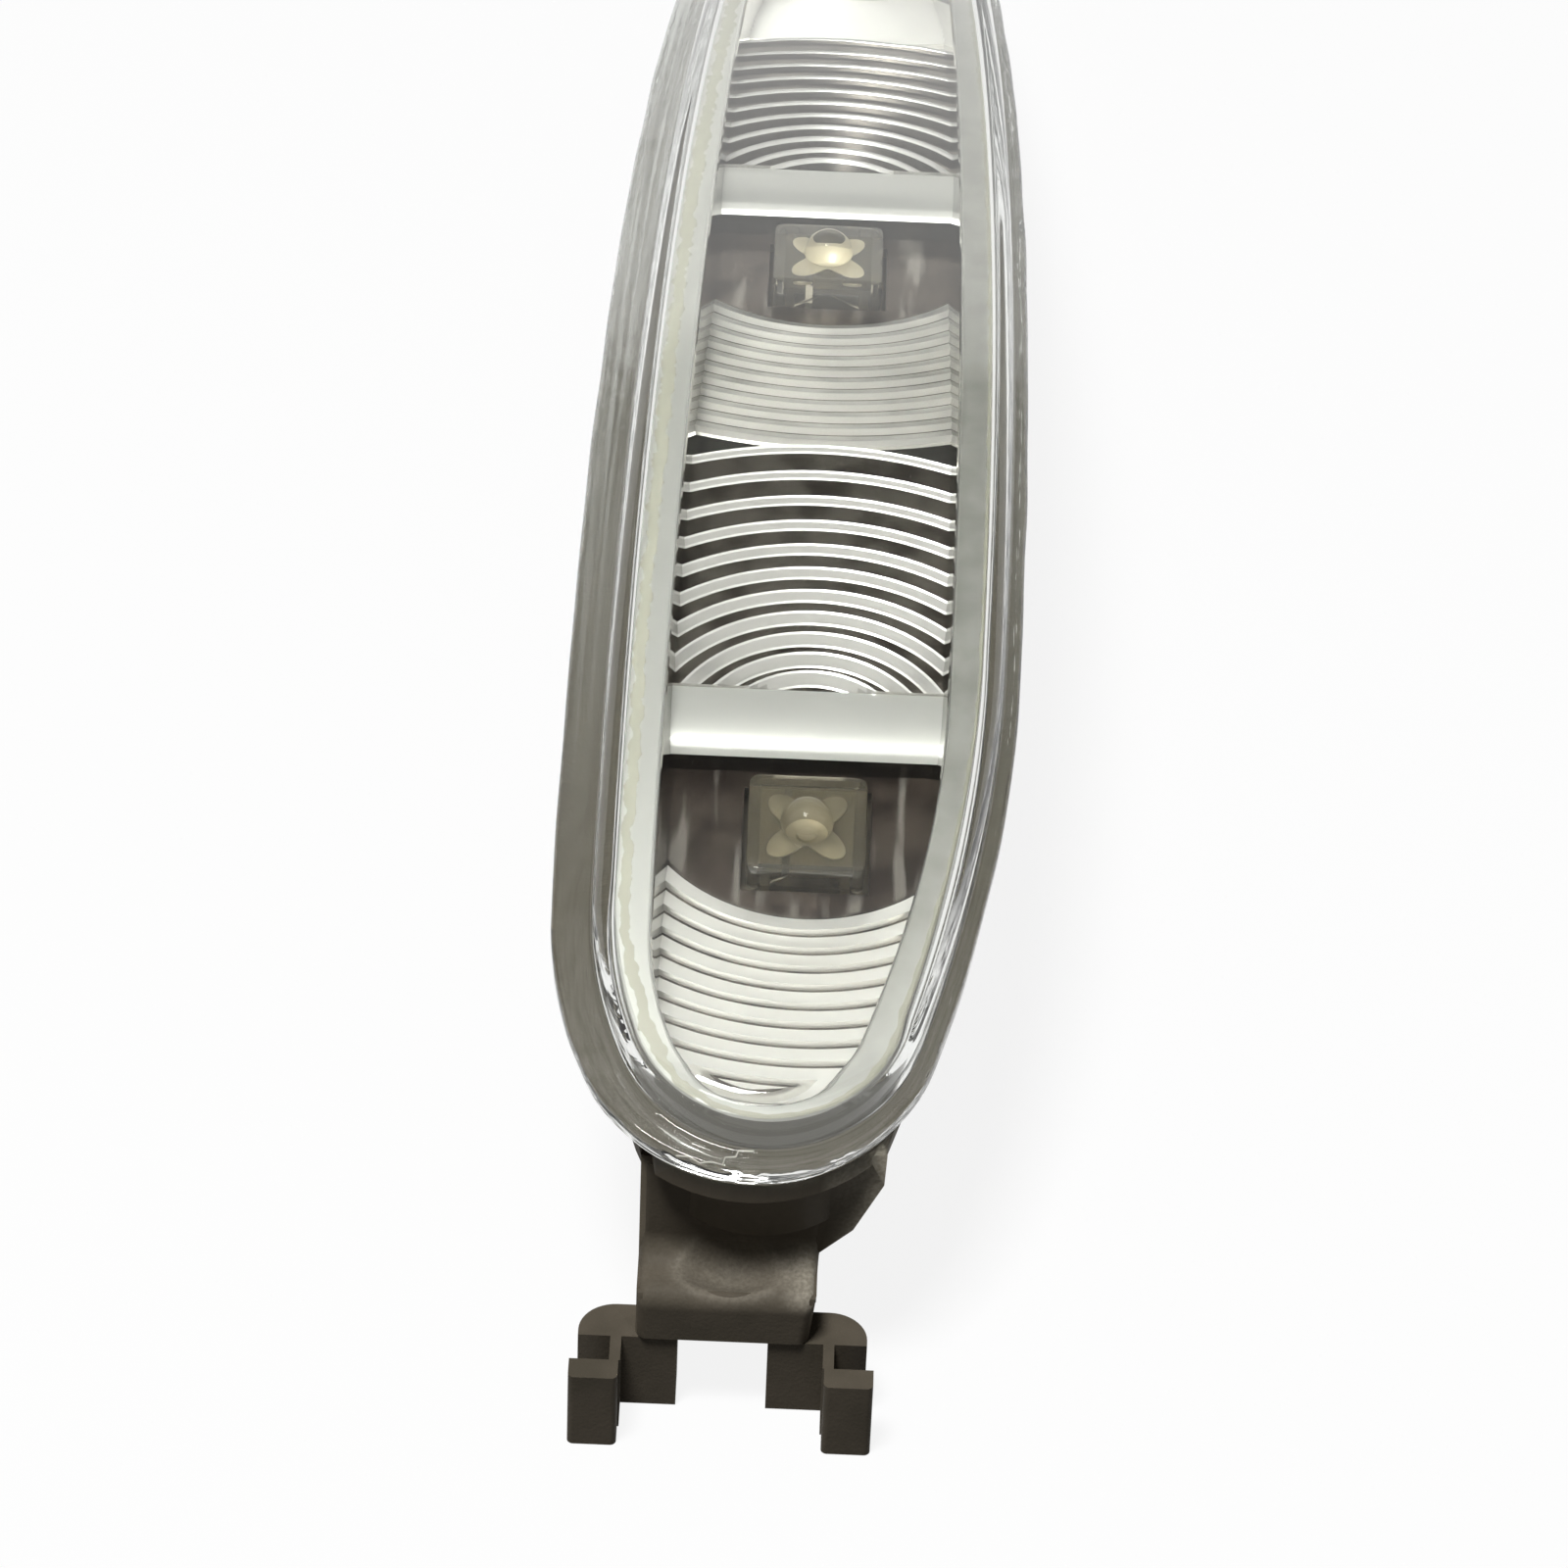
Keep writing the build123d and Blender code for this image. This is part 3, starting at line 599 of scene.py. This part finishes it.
def makeLed(name, place, material):
    s = ledSizes
    ways = circleWays(fullTurn(s["points"]))
    edge, bottom, top, dome = s["edge"], s["bottom"], s["top"], s["dome"]

    def square(inset):
        # rounded square: each way meets the straight sides, then the corner is eased by a power mean
        power = s["squareness"]
        reach = (np.abs(ways) ** power).sum(axis=1) ** (-1 / power)
        return ways * (reach * (s["half"] - inset))[:, None]

    loops = [(square(edge), bottom), (square(0), bottom + edge), (square(0), top - edge),
             (square(edge * 0.3), top - edge * 0.3), (square(edge), top)]
    for part in np.linspace(s["flatFrom"], 1, s["flatSteps"]):
        loops.append((square(edge) * (1 - part) + ways * dome * part, top))
    # the dome: a quarter circle carried round the LED's axis
    for turn in np.linspace(0, np.pi / 2, s["domeSteps"])[1:-1]:
        loops.append((ways * dome * cos(turn), top + dome * sin(turn)))
    return buildTurned("ledBody." + name, place, loops, (bottom, top + dome), material, s["crisp"])


# Petal plate: loops of its rim as (scale, height over the plate) and of its cup as (radius, height)
cupSizes = dict(
    plate=1.02, petalReach=3.3, petalInner=1.5, petalPower=2.2,
    rim=((1.0, 0.0), (1.0, 0.12), (0.97, 0.15)),
    cup=((1.4, 0.15), (1.3, 0.4), (1.15, 0.42), (0.7, 0.12), (0.36, 0.1), (0.34, 0.2), (0.15, 0.21)),
    points=120, crisp=25.0,
)


def makeCup(name, place, material):
    # a thin plate whose edge swells to four petals, by a power of the sine of twice the angle, and a round
    # cup sunk in its middle
    s = cupSizes
    angles = fullTurn(s["points"])
    ways = circleWays(angles)
    swell = np.abs(np.sin(2 * angles)) ** s["petalPower"]
    petals = s["petalInner"] + (s["petalReach"] - s["petalInner"]) * swell
    loops = [(ways * (petals * scale)[:, None], s["plate"] + height) for scale, height in s["rim"]]
    loops += [(ways * radius, s["plate"] + height) for radius, height in s["cup"]]
    ends = (s["plate"], s["plate"] + s["cup"][-1][1])
    return buildTurned("ledCup." + name, place, loops, ends, material, s["crisp"])


# Clear plastic: sizes in mm, places in metres; a range of four maps the first two values to the last two
lensLook = dict(
    tint="#f6f7f4", shadowTint="#f2f4f4", ior=1.49, frostRough=0.05, streakLength=30.0, streakWidth=0.22,
    milk=(0.35, 0.7, 0.14, 0.4), fadeNear=(-0.06, 0.0, 0.0, 1.0), fadeRight=(-0.005, 0.005, 1.0, 0.45),
    waveSize=5.0, waveFar=(0.015, 0.04, 0.1, 0.6), waveDepth=0.04, waveStrength=0.6,
    onFlange=(1.6, 2.0, 1.0, 0.0), rippleWidth=0.5, rippleShort=8.0, rippleGain=3.0,
)


def makeClear():
    # colourless lens, glossy and very slightly wavy; its weld flange is milky with lengthwise streaks
    look = lensLook
    material, add = newMaterial("PMMA moulded clear")
    place = (add("TexCoord"), "Object")
    frost = (add("Attribute", attribute_name="frost"), "Fac")
    inset = (add("Attribute", attribute_name="inset"), "Fac")
    split = add("SeparateXYZ", [place])
    along = add("Math", [(split, "Y"), patternScale(look["streakLength"])], **times)
    across = add("Math", [inset, look["streakWidth"]], operation="DIVIDE")
    joined = add("CombineXYZ", [across, along])
    streak = add("TexNoise", {"Vector": joined, "Scale": 1.0, "Detail": 3.0}, **flatNoise)
    milk = add("MapRange", [streak, *look["milk"]])
    # clearer towards the near end and on the right: the milkier far left is painted sheen, where light
    # falls on the flange there
    fade = add("MapRange", [(split, "Y"), *look["fadeNear"]])
    side = add("MapRange", [(split, "X"), *look["fadeRight"]])
    weaker = add("Math", [fade, side], **times)
    faded = add("Math", [weaker, milk], **times)
    haze = add("Math", [frost, faded], **times)
    clearness = add("Math", [1.0, haze], operation="SUBTRACT")
    rough = add("Math", [frost, look["frostRough"]], **times)
    # waves over the far crown, short ripples along the flange
    wave = add("TexNoise", {"Vector": place, "Scale": patternScale(look["waveSize"]), "Detail": 1.0})
    far = add("MapRange", [(split, "Y"), *look["waveFar"]])
    waved = add("Math", [wave, far], **times)
    onFlange = add("MapRange", [inset, *look["onFlange"]])
    stretch = (look["streakWidth"] / look["rippleWidth"], look["rippleShort"], 1.0)
    coarse = add("Mapping", {"Vector": joined, "Scale": stretch})
    ripple = add("TexNoise", {"Vector": coarse, "Scale": 1.0, "Detail": 2.0}, **flatNoise)
    rippled = add("Math", [ripple, look["rippleGain"]], **times)
    relief = add("Math", [rippled, onFlange, waved], **timesPlus)
    bump = add("Bump", {"Strength": look["waveStrength"], "Distance": look["waveDepth"] / 1000.0,
                        "Height": relief})
    shader = add("BsdfPrincipled", {"Base Color": look["tint"], "IOR": look["ior"], "Normal": bump,
                                    "Roughness": rough, "Transmission Weight": clearness})
    # light passes through it to things below
    path = add("LightPath")
    through = add("BsdfTransparent", [look["shadowTint"]])
    mixed = add("MixShader", [(path, "Is Shadow Ray"), shader, through])
    add("OutputMaterial", [mixed])
    return material


# Metal film: its colour, then each zone's tint and matt share; sizes in mm, ranges as above
metalLook = dict(
    film="#dad8d4",
    # the well, tread and root tints are painted shade: dark where those floors and creases lie in shade
    zones={"satin": ("#b4b3ae", 0.5), "bar": ("#b6b5b0", 0.4), "well": ("#594f47", 0.25),
           "tread": ("#7a746c", 0.2), "slope": ("#d9d7d2", 0.45), "skirt": ("#5f5b53", 0.7),
           "facet": ("#d2d0cc", 0.3), "root": ("#3a3631", 0.25)},
    bare="#8f8d80", bareShaded="#6f6d60", bareEdge=(0.46, 0.54, 1.0, 0.0), ragged=1.2, wander=0.75,
    mottle="#2e2621", mottleSize=3.0, mottleShare=(0.45, 0.62, 0.0, 0.7), wipe="#a09a92", wipeSize=1.5,
    wipeShape=(1.0, 0.12, 0.12), wipeShare=(0.56, 0.66, 0.0, 0.8), paintedShade="#6f6d67",
    shadeShare=(0.3, 0.7, 0.6, 1.0), rough=0.07, mattRough=0.55,
)


def makeMetallised():
    # bright aluminium film, near mirror; painted shade makes it brownish in the wells, darker on the treads
    # and roots, and darker where the shade attribute says so; softer on bars and rim, and left off a ragged
    # cream border of bare plastic along the rim
    look = metalLook
    material, add = newMaterial("ABS vacuum metallised")
    place = (add("TexCoord"), "Object")
    zones = {key: (add("Attribute", attribute_name=key), "Fac")
             for key in (*look["zones"], "border", "shade")}
    ragged = add("TexNoise", {"Vector": place, "Scale": patternScale(look["ragged"]), "Detail": 3.0})
    wander = add("Math", [ragged, 2 * look["wander"], -0.5 - look["wander"]], **timesPlus)
    offset = add("Math", [zones["border"], wander], operation="ADD")
    distance = add("Math", [offset], operation="ABSOLUTE")
    bare = add("MapRange", [distance, *look["bareEdge"]])
    # each zone's tint over the film, and the largest of the zones' matt shares; the bare border is all matt
    tint, plain = look["film"], bare
    for key, (hexColour, share) in look["zones"].items():
        tint = (add("Mix", {0: zones[key], 6: tint, 7: hexColour}, **blend), 2)
        matt = add("Math", [zones[key], share], **times)
        plain = add("Math", [matt, plain], **largest)
    # brown-black mottling at random over the wells and treads, deepening their painted shade
    cloud = add("TexNoise", {"Vector": place, "Scale": patternScale(look["mottleSize"]), "Detail": 3.0})
    paintedShadeZones = add("Math", [zones["well"], zones["tread"]], **largest)
    patch = add("MapRange", [cloud, *look["mottleShare"]])
    amount = add("Math", [paintedShadeZones, patch], **times)
    mottled = add("Mix", {0: amount, 6: tint, 7: look["mottle"]}, **blend)
    # grey wipe marks run lengthwise over the well floors
    stretch = add("Mapping", {"Vector": place, "Scale": look["wipeShape"]})
    wipe = add("TexNoise", {"Vector": stretch, "Scale": patternScale(look["wipeSize"]), "Detail": 2.0})
    wiped = add("MapRange", [wipe, *look["wipeShare"]])
    wipeShare = add("Math", [zones["well"], wiped], **times)
    marked = add("Mix", {0: wipeShare, 6: (mottled, 2), 7: look["wipe"]}, **blend)
    # painted shade, patchy, where the shade attribute says so, film and bare border alike
    patchyShade = add("MapRange", [cloud, *look["shadeShare"]])
    shaded = add("Math", [zones["shade"], patchyShade], **times)
    shadePainted = add("Mix", {0: shaded, 6: (marked, 2), 7: look["paintedShade"]}, **blend)
    bareTint = add("Mix", {0: shaded, 6: look["bare"], 7: look["bareShaded"]}, **blend)
    colour = add("Mix", {0: bare, 6: (shadePainted, 2), 7: (bareTint, 2)}, **blend)
    metal = add("Math", [1.0, plain], operation="SUBTRACT")
    rough = add("Math", [plain, look["mattRough"], look["rough"]], **timesPlus)
    shader = add("BsdfPrincipled", {"Base Color": (colour, 2), "Metallic": metal, "Roughness": rough})
    add("OutputMaterial", [shader])
    return material


# Dark plastic: the two tones and where the cloud turns from one to the other; sizes and depth in mm
darkLook = dict(
    tones=((0.3, "#575146"), (0.75, "#696155")), toneSize=4.0, grainSize=0.25, grainDepth=0.08,
    grainStrength=0.35, rubAndLight="#aaa394", rubAndLightShare=(0.35, 0.7, 0.5, 1.0), seat="#48443c", rough=0.5,
    specular=0.05,
)


def makeDark():
    # matt grey-brown moulding: fine spark texture, slightly uneven tone
    look = darkLook
    material, add = newMaterial("ABS moulded dark")
    place = (add("TexCoord"), "Object")
    tone, grain, speck = [
        add("TexNoise", {"Vector": place, "Scale": patternScale(size), "Detail": detail})
        for size, detail in ((look["toneSize"], 4.0), (look["grainSize"], 2.0), (look["grainSize"], 4.0))]
    ramp = add("ValToRGB", [tone])
    for stop, (position, hexColour) in zip(ramp.color_ramp.elements, look["tones"]):
        stop.position, stop.color = position, linear(hexColour)
    bump = add("Bump", {"Strength": look["grainStrength"], "Distance": look["grainDepth"] / 1000.0,
                        "Height": grain})
    # pale speckles where the attribute says so: rubbing on the arm, and painted light on the arm's lit
    # shelf, lip and dish and on the gusset's face
    scuffAndLight = (add("Attribute", attribute_name="scuffAndLight"), "Fac")
    rubAndLight = add("MapRange", [speck, *look["rubAndLightShare"]])
    share = add("Math", [scuffAndLight, rubAndLight], **times)
    tint = add("Mix", {0: share, 6: ramp, 7: look["rubAndLight"]}, **blend)
    # painted shade: darker where the lens sits over the housing
    seat = (add("Attribute", attribute_name="seat"), "Fac")
    seatShaded = add("Mix", {0: seat, 6: (tint, 2), 7: look["seat"]}, **blend)
    shader = add("BsdfPrincipled", {"Base Color": (seatShaded, 2), "Normal": bump, "Roughness": look["rough"],
                                    "Specular IOR Level": look["specular"]})
    add("OutputMaterial", [shader])
    return material


def makeSpeckled(name, darkHex, paleHex, size, rough, metallic=0.0, clearness=0.0, ior=1.5):
    # plain finish with a faint cloud of two near tones of the given size in mm
    material, add = newMaterial(name)
    place = (add("TexCoord"), "Object")
    cloud = add("TexNoise", {"Vector": place, "Scale": patternScale(size), "Detail": 3.0})
    tone = add("Mix", {0: cloud, 6: darkHex, 7: paleHex}, **blend)
    shader = add("BsdfPrincipled", {"Base Color": (tone, 2), "Roughness": rough, "Metallic": metallic,
                                    "Transmission Weight": clearness, "IOR": ior})
    add("OutputMaterial", [shader])
    return material


clear = makeClear()
metallised = makeMetallised()
darkAbs = makeDark()
# faintly yellow and glassy
epoxy = makeSpeckled("epoxy cast clear", "#cfc6b0", "#dad1bd", 3.0, 0.04, clearness=0.95, ior=1.52)
# grey-brown metal, painted dark as painted shade
tinned = makeSpeckled("copper tinned", "#5a5448", "#6b6557", 1.0, 0.45, metallic=1.0)
# the same silver painted greyer for the near LED as painted shade, bright cream silver for the others
shadedPlate = makeSpeckled("copper silver plated shaded", "#8d8775", "#a39d8b", 0.5, 0.35, metallic=0.5)
cupPlate = makeSpeckled("copper silver plated", "#fbf6e4", "#fffdf2", 0.5, 0.3, metallic=0.25)
# matt brown board
board = makeSpeckled("FR4 bare brown", "#3d372c", "#4a4335", 0.8, 0.5)
# whitened broken plastic
crackWhite = makeSpeckled("PMMA crack edge", "#c4c2b8", "#eae8df", 0.4, 0.4)
# black chip body
moulding = makeSpeckled("epoxy moulding black", "#191919", "#242424", 0.5, 0.5)
# pale blade metal
brass = makeSpeckled("brass tinned", "#b9b2a2", "#cdc7b8", 1.0, 0.3, metallic=1.0)
print("materials made")

finishes = {"lead_frame": tinned, "terminal": brass, "circuit_board": board, "resistor": moulding,
            "diode": moulding}
for name, node in nodes.items():
    node.data.materials.clear()
    node.data.materials.append(next((finishes[key] for key in finishes if name.startswith(key)), darkAbs))


# Housing: boxes are ranges of x, y and z in mm from the arc's top
housingSizes = dict(
    weld=0.006, flatAngle=0.5, ease=0.35, easeSteps=4, easeTop=14.5, easeNear=-55.0, flangeUnder=0.9,
    flangeTrim=0.3, undercut=1.2, heightBand=0.06, edgeBand=0.12, armNear=-66.0, armSides=(-9.0, 6.0),
    seatFrom=2.1, scoopDrop=0.6, scoop=((-8.5, 1.2), (-72.3, -69.2), (-20.8, -19.4)),
    gusset=((2.4, 14.0), (-73.0, -60.0), (-19.9, -3.0)), gussetLight=1.0, crisp=25.0,
)


def inBox(points, box):
    low, high = np.array(box).T
    return ((points > low) & (points < high)).all(axis=1)


def makeHousing(material):
    # the moulding with its edges eased: a joined copy of the solid, a bevel on the arm and foot, and the
    # underside of the weld flange drawn in all round but at the arm
    s = housingSizes
    mesh = nodes["housing"].data.copy()
    mesh.name = "housingShell"
    work = bmesh.new()
    work.from_mesh(mesh)
    bmesh.ops.remove_doubles(work, verts=work.verts, dist=s["weld"] / 1000.0)
    top, near = s["easeTop"] / 1000.0, (s["easeNear"] + lampArc["apex"][1]) / 1000.0
    # flat patches of the arm and foot become single faces
    lowVerts = [vert for vert in work.verts if vert.co.z < top and vert.co.y < near]
    lowSet = set(lowVerts)
    lowEdges = [edge for edge in work.edges if lowSet.issuperset(edge.verts)]
    bmesh.ops.dissolve_limit(work, angle_limit=radians(s["flatAngle"]), verts=lowVerts, edges=lowEdges)
    work.to_mesh(mesh)
    work.free()
    points = np.empty(len(mesh.vertices) * 3, np.float32)
    mesh.vertices.foreach_get("co", points)
    points = points.reshape(-1, 3).astype(float)
    local = points * 1000.0 - np.array(lampArc["apex"])
    height = np.hypot(local[:, 1], local[:, 2] + arcRadius) - arcRadius
    # points on the flange's under edge go in along the outline's nearest outward way
    curve = loopCurve(flangeShape)[0]
    loop = together(*loopPoints(curve, -s["flangeTrim"]))
    nearest = np.linalg.norm(local[:, None, :2] - loop[None], axis=-1).argmin(axis=1)
    ways = curve[2][nearest]
    gap = np.abs(np.einsum("ij,ij->i", local[:, :2] - loop[nearest], ways))
    edge = (np.abs(height - s["flangeUnder"]) < s["heightBand"]) & (gap < s["edgeBand"])
    armLeft, armRight = s["armSides"]
    edge &= (local[:, 1] > s["armNear"]) | (local[:, 0] < armLeft) | (local[:, 0] > armRight)
    points[edge, :2] -= ways[edge] * s["undercut"] / 1000.0
    # the scoop is lowered to lie under the arm's moulded skin
    scoop = inBox(local, s["scoop"])
    points[scoop, 2] -= s["scoopDrop"] / 1000.0
    mesh.vertices.foreach_set("co", points.astype(np.float32).ravel())
    shadeSmooth(mesh, s["crisp"])
    # only edges of the arm and foot are bevelled
    low = (local[:, 2] + lampArc["apex"][2] < s["easeTop"]) & (local[:, 1] < s["easeNear"])
    ends = np.empty(len(mesh.edges) * 2, np.int32)
    mesh.edges.foreach_get("vertices", ends)
    sharp = np.zeros(len(mesh.edges), bool)
    mesh.edges.foreach_get("use_edge_sharp", sharp)
    addValues(mesh, {
        "bevel_weight_edge": ("EDGE", low[ends.reshape(-1, 2)].all(axis=1) & sharp),
        # painted shade under the lens
        "seat": ("POINT", height > s["seatFrom"]),
        # painted light on the gusset's face
        "scuffAndLight": ("POINT", inBox(local, s["gusset"]) * s["gussetLight"]),
    })
    mesh.materials.clear()
    mesh.materials.append(material)
    piece = addObject("housingShell", mesh)
    ease = piece.modifiers.new("ease", "BEVEL")
    ease.width, ease.segments, ease.limit_method = s["ease"] / 1000.0, s["easeSteps"], "WEIGHT"
    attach(piece, "root")
    return piece


# Arm skin: the moulded face of the arm, from under the flange over the thumb dish and the rounded lip
armSizes = dict(
    left=-9.47, rightTop=2.66, rightLow=1.37, top=-11.0, faceTop=-12.0, low=-23.2, face=-69.1,
    shelf=-19.42, front=-72.98, backRound=1.8, lipRound=1.25, sideRound=0.7, sink=0.5, dishDepth=0.85,
    dishPlace=(-3.7, -70.7), dishHalf=(3.3, 2.0), dishPower=1.2, dishSlope=-0.3, roundSteps=40, rows=90,
    columns=72, crisp=50.0, rubLitSlope=-1.2, rubLitFrom=-0.6, rubLitWidth=1.6, rubLitRim=0.35, rimWidth=0.35,
    rubLitDish=0.3, rubLitShelf=0.1,
)


def makeArmSkin(material):
    s = armSizes
    quarter = np.linspace(0, np.pi / 2, s["roundSteps"])
    backRound, lipRound, sideRound = s["backRound"], s["lipRound"], s["sideRound"]
    backY, backZ = s["face"] - backRound, s["shelf"] + backRound
    lipY, lipZ = s["front"] + lipRound, s["shelf"] - lipRound
    # profile in y and z: down the face, round into the shelf, over the lip, down the front
    turn = np.concatenate([
        [(s["face"], s["faceTop"])],
        together(backY + backRound * np.cos(quarter), backZ - backRound * np.sin(quarter)),
        together(lipY - lipRound * np.sin(quarter), lipZ + lipRound * np.cos(quarter)),
        [(s["front"], s["low"])]])
    length = np.concatenate([[0], np.cumsum(np.linalg.norm(np.diff(turn, axis=0), axis=1))])
    along = np.linspace(0, length[-1], s["rows"])
    y, z = np.interp(along, length, turn[:, 0]), np.interp(along, length, turn[:, 1])
    slope = unitWay(together(np.gradient(y), np.gradient(z)))
    outY, outZ = slope[:, 1], -slope[:, 0]
    right = np.interp(-z, (-s["top"], -s["low"]), (s["rightTop"], s["rightLow"]))
    x = s["left"] + (right - s["left"])[:, None] * np.linspace(0, 1, s["columns"])
    # the dish is a smooth bowl, the sides fall away as quarter circles
    (dishX, dishY), (halfX, halfY) = s["dishPlace"], s["dishHalf"]
    reach = ((x - dishX) / halfX) ** 2 + ((y[:, None] - dishY) / halfY) ** 2
    bowl = np.clip(1 - reach, 0, 1)
    dish = s["dishDepth"] * bowl ** s["dishPower"] * (slope[:, 0] < s["dishSlope"])[:, None]
    side = np.minimum(x - s["left"], right[:, None] - x)
    fall = 1 - np.clip(side / sideRound, 0, 1)
    push = -dish - sideRound * (1 - np.sqrt(np.clip(1 - fall ** 2, 0, 1)))
    front = together(x, y[:, None] + outY[:, None] * push, z[:, None] + outZ[:, None] * push)
    back = front - together(np.zeros_like(y), outY, outZ)[:, None] * s["sink"]
    points = toMetres(np.concatenate([front.reshape(-1, 3), back.reshape(-1, 3)]))
    rows, columns = s["rows"], s["columns"]
    index = np.arange(2 * rows * columns).reshape(2, rows, columns)

    def strip(first, second):
        return together(first[:-1], second[:-1], second[1:], first[1:])

    faces = [gridFaces(rows, columns), gridFaces(rows, columns, rows * columns)[:, ::-1],
             strip(index[0, 0], index[1, 0])[:, ::-1], strip(index[0, -1], index[1, -1]),
             strip(index[0, :, 0], index[1, :, 0]), strip(index[0, :, -1], index[1, :, -1])[:, ::-1]]
    # paler on the upward faces, on the right of the shelf, along the lip and round the dish: speckled
    # rubbing there, and painted light where those faces catch the light
    onShelf = np.clip(slope[:, 0] * s["rubLitSlope"], 0, 1)[:, None]
    rubAndLight = np.clip((x - s["rubLitFrom"]) / s["rubLitWidth"], 0, 1) + s["rubLitDish"] * bowl + s["rubLitShelf"]
    rubAndLight += s["rubLitRim"] * np.exp(-((reach - 1.0) / s["rimWidth"]) ** 2)
    scuffAndLight = np.concatenate([(onShelf * rubAndLight).ravel(), np.zeros(rows * columns)])
    return buildMesh("armSkin", points, faces, material, s["crisp"], {"scuffAndLight": ("POINT", scuffAndLight)})


# Crack in the weld flange near its tip, as a thin raised thread: (x, mm in from the edge) of each bend
crackSizes = dict(
    path=((-7.3, 0.1), (-6.5, 0.3), (-5.8, 0.16), (-5.1, 0.4), (-4.4, 0.34), (-4.25, 0.85),
          (-3.6, 1.0), (-3.45, 1.4), (-2.5, 1.45)),
    radius=0.05, sides=8, crisp=60.0,
)


def makeCrack(material):
    s = crackSizes
    x, inset = np.array(s["path"]).T
    (tipX, tipY), tipRadius = flangeShape["tip"], flangeShape["tipRadius"]
    y = tipY - np.sqrt((tipRadius - inset) ** 2 - (x - tipX) ** 2)
    # the thread follows the flange's top and its rounded edge
    fillet = lensSizes["flangeFillet"]
    edge = np.clip(1 - inset / fillet, 0, 1)
    height = lensSizes["seam"] + lensSizes["flange"] - fillet * (1 - np.sqrt(1 - edge ** 2))
    centre = toFrame(x, y, height)
    along = unitWay(np.gradient(centre, axis=0))
    side = unitWay(np.cross(along, (0.0, 0.0, 1.0)))
    up = np.cross(side, along)
    turn = fullTurn(s["sides"])[None, :, None]
    spoke = side[:, None] * np.cos(turn) - up[:, None] * np.sin(turn)
    ring = centre[:, None] + spoke * s["radius"] / 1000.0
    points = np.concatenate([ring.reshape(-1, 3), centre[:1], centre[-1:]])
    return buildMesh("flangeCrack", points, poledFaces(len(x), s["sides"]), material, s["crisp"])


lensPiece = makeLens(clear)
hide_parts("lens")
print("lens made:", len(lensPiece.data.polygons))
reflectorPiece = makeReflector(metallised)
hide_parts("reflector")
print("reflector made:", len(reflectorPiece.data.polygons))
for name, place in ledPlaces.items():
    ledPiece = makeLed(name, place, epoxy)
    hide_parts("led_" + name)
    makeCup(name, place, shadedPlate if name == "near" else cupPlate)
print("LEDs made")
housingPiece = makeHousing(darkAbs)
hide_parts("housing")
crackPiece = makeCrack(crackWhite)
armPiece = makeArmSkin(darkAbs)
print("housing made:", len(housingPiece.data.polygons))

# Studio, in metres: white floor, bright low surroundings, dark ceiling beyond the lamp, light tent over
# the camera; the room's stops are (angle over the lamp from the far side, brightness)
studio = dict(
    floorHalf=3.0, floorColour="#636363", floorGlow=0.88, fill=0.05, lampPower=13.0,
    lampPlace=(-0.22, -0.36, 1.2), lampTarget=(0, 0, 0.02), lampSize=(0.3, 0.3),
    room=((0, 1.0), (36, 1.0), (40, 0.06), (60, 0.03), (65, 0.06), (72, 0.45), (81, 0.95), (110, 1.0),
          (115, 0.3), (133, 0.3), (140, 1.0), (160, 0.9), (180, 0.5)),
)


def seenShare(add):
    # 1 for what the eye sees, straight or by way of mirrors and glass, 0 for light on its way to things
    path = add("LightPath")
    eye = add("Math", [(path, "Is Camera Ray"), (path, "Is Glossy Ray")], **largest)
    return add("Math", [eye, (path, "Is Transmission Ray")], **largest)


def addFloor():
    # paper: eyes, mirrors and glass see it near white, the rest of the light sees a plain grey
    half = studio["floorHalf"]
    paper, add = newMaterial("paper white")
    sheet = add("BsdfDiffuse", [studio["floorColour"]])
    level = add("Math", [seenShare(add), studio["floorGlow"]], **times)
    glow = add("Emission", {"Strength": level})
    add("OutputMaterial", [add("AddShader", [sheet, glow])])
    mesh = bpy.data.meshes.new("floor")
    corners = [(-half, -half, 0), (half, -half, 0), (half, half, 0), (-half, half, 0)]
    mesh.from_pydata(corners, [], [(0, 1, 2, 3)])
    mesh.materials.append(paper)
    addObject("floor", mesh)


def addRoom():
    # the room by the angle over the lamp; things are lit by a plain dim fill instead
    world = bpy.data.worlds.new("room")
    bpy.context.scene.world = world
    add = nodesOf(world)
    split = add("SeparateXYZ", [(add("TexCoord"), "Generated")])
    turn = add("Math", [(split, "Z"), (split, "Y")], operation="ARCTAN2")
    ramp = add("ValToRGB", [add("Math", [turn, np.pi], operation="DIVIDE")])
    stops = ramp.color_ramp.elements
    while len(stops) < len(studio["room"]):
        stops.new(0.5)
    for stop, (angle, level) in zip(stops, studio["room"]):
        stop.position, stop.color = angle / 180.0, (level, level, level, 1)
    dim = studio["fill"]
    light = add("Mix", {0: seenShare(add), 6: (dim, dim, dim, 1), 7: ramp}, **blend)
    add("OutputWorld", [add("Background", [(light, 2)])])


def addLamp():
    # one soft lamp over the camera's left
    lamp = bpy.data.lights.new("softLight", "AREA")
    lamp.shape, lamp.energy = "RECTANGLE", studio["lampPower"]
    lamp.size, lamp.size_y = studio["lampSize"]
    place = Vector(studio["lampPlace"])
    aim = (Vector(studio["lampTarget"]) - place).to_track_quat("-Z", "Y")
    addObject("softLight", lamp).matrix_world = Matrix.Translation(place) @ aim.to_matrix().to_4x4()


addFloor()
addRoom()
addLamp()
bpy.context.scene.view_settings.view_transform = "Standard"
print("studio made")
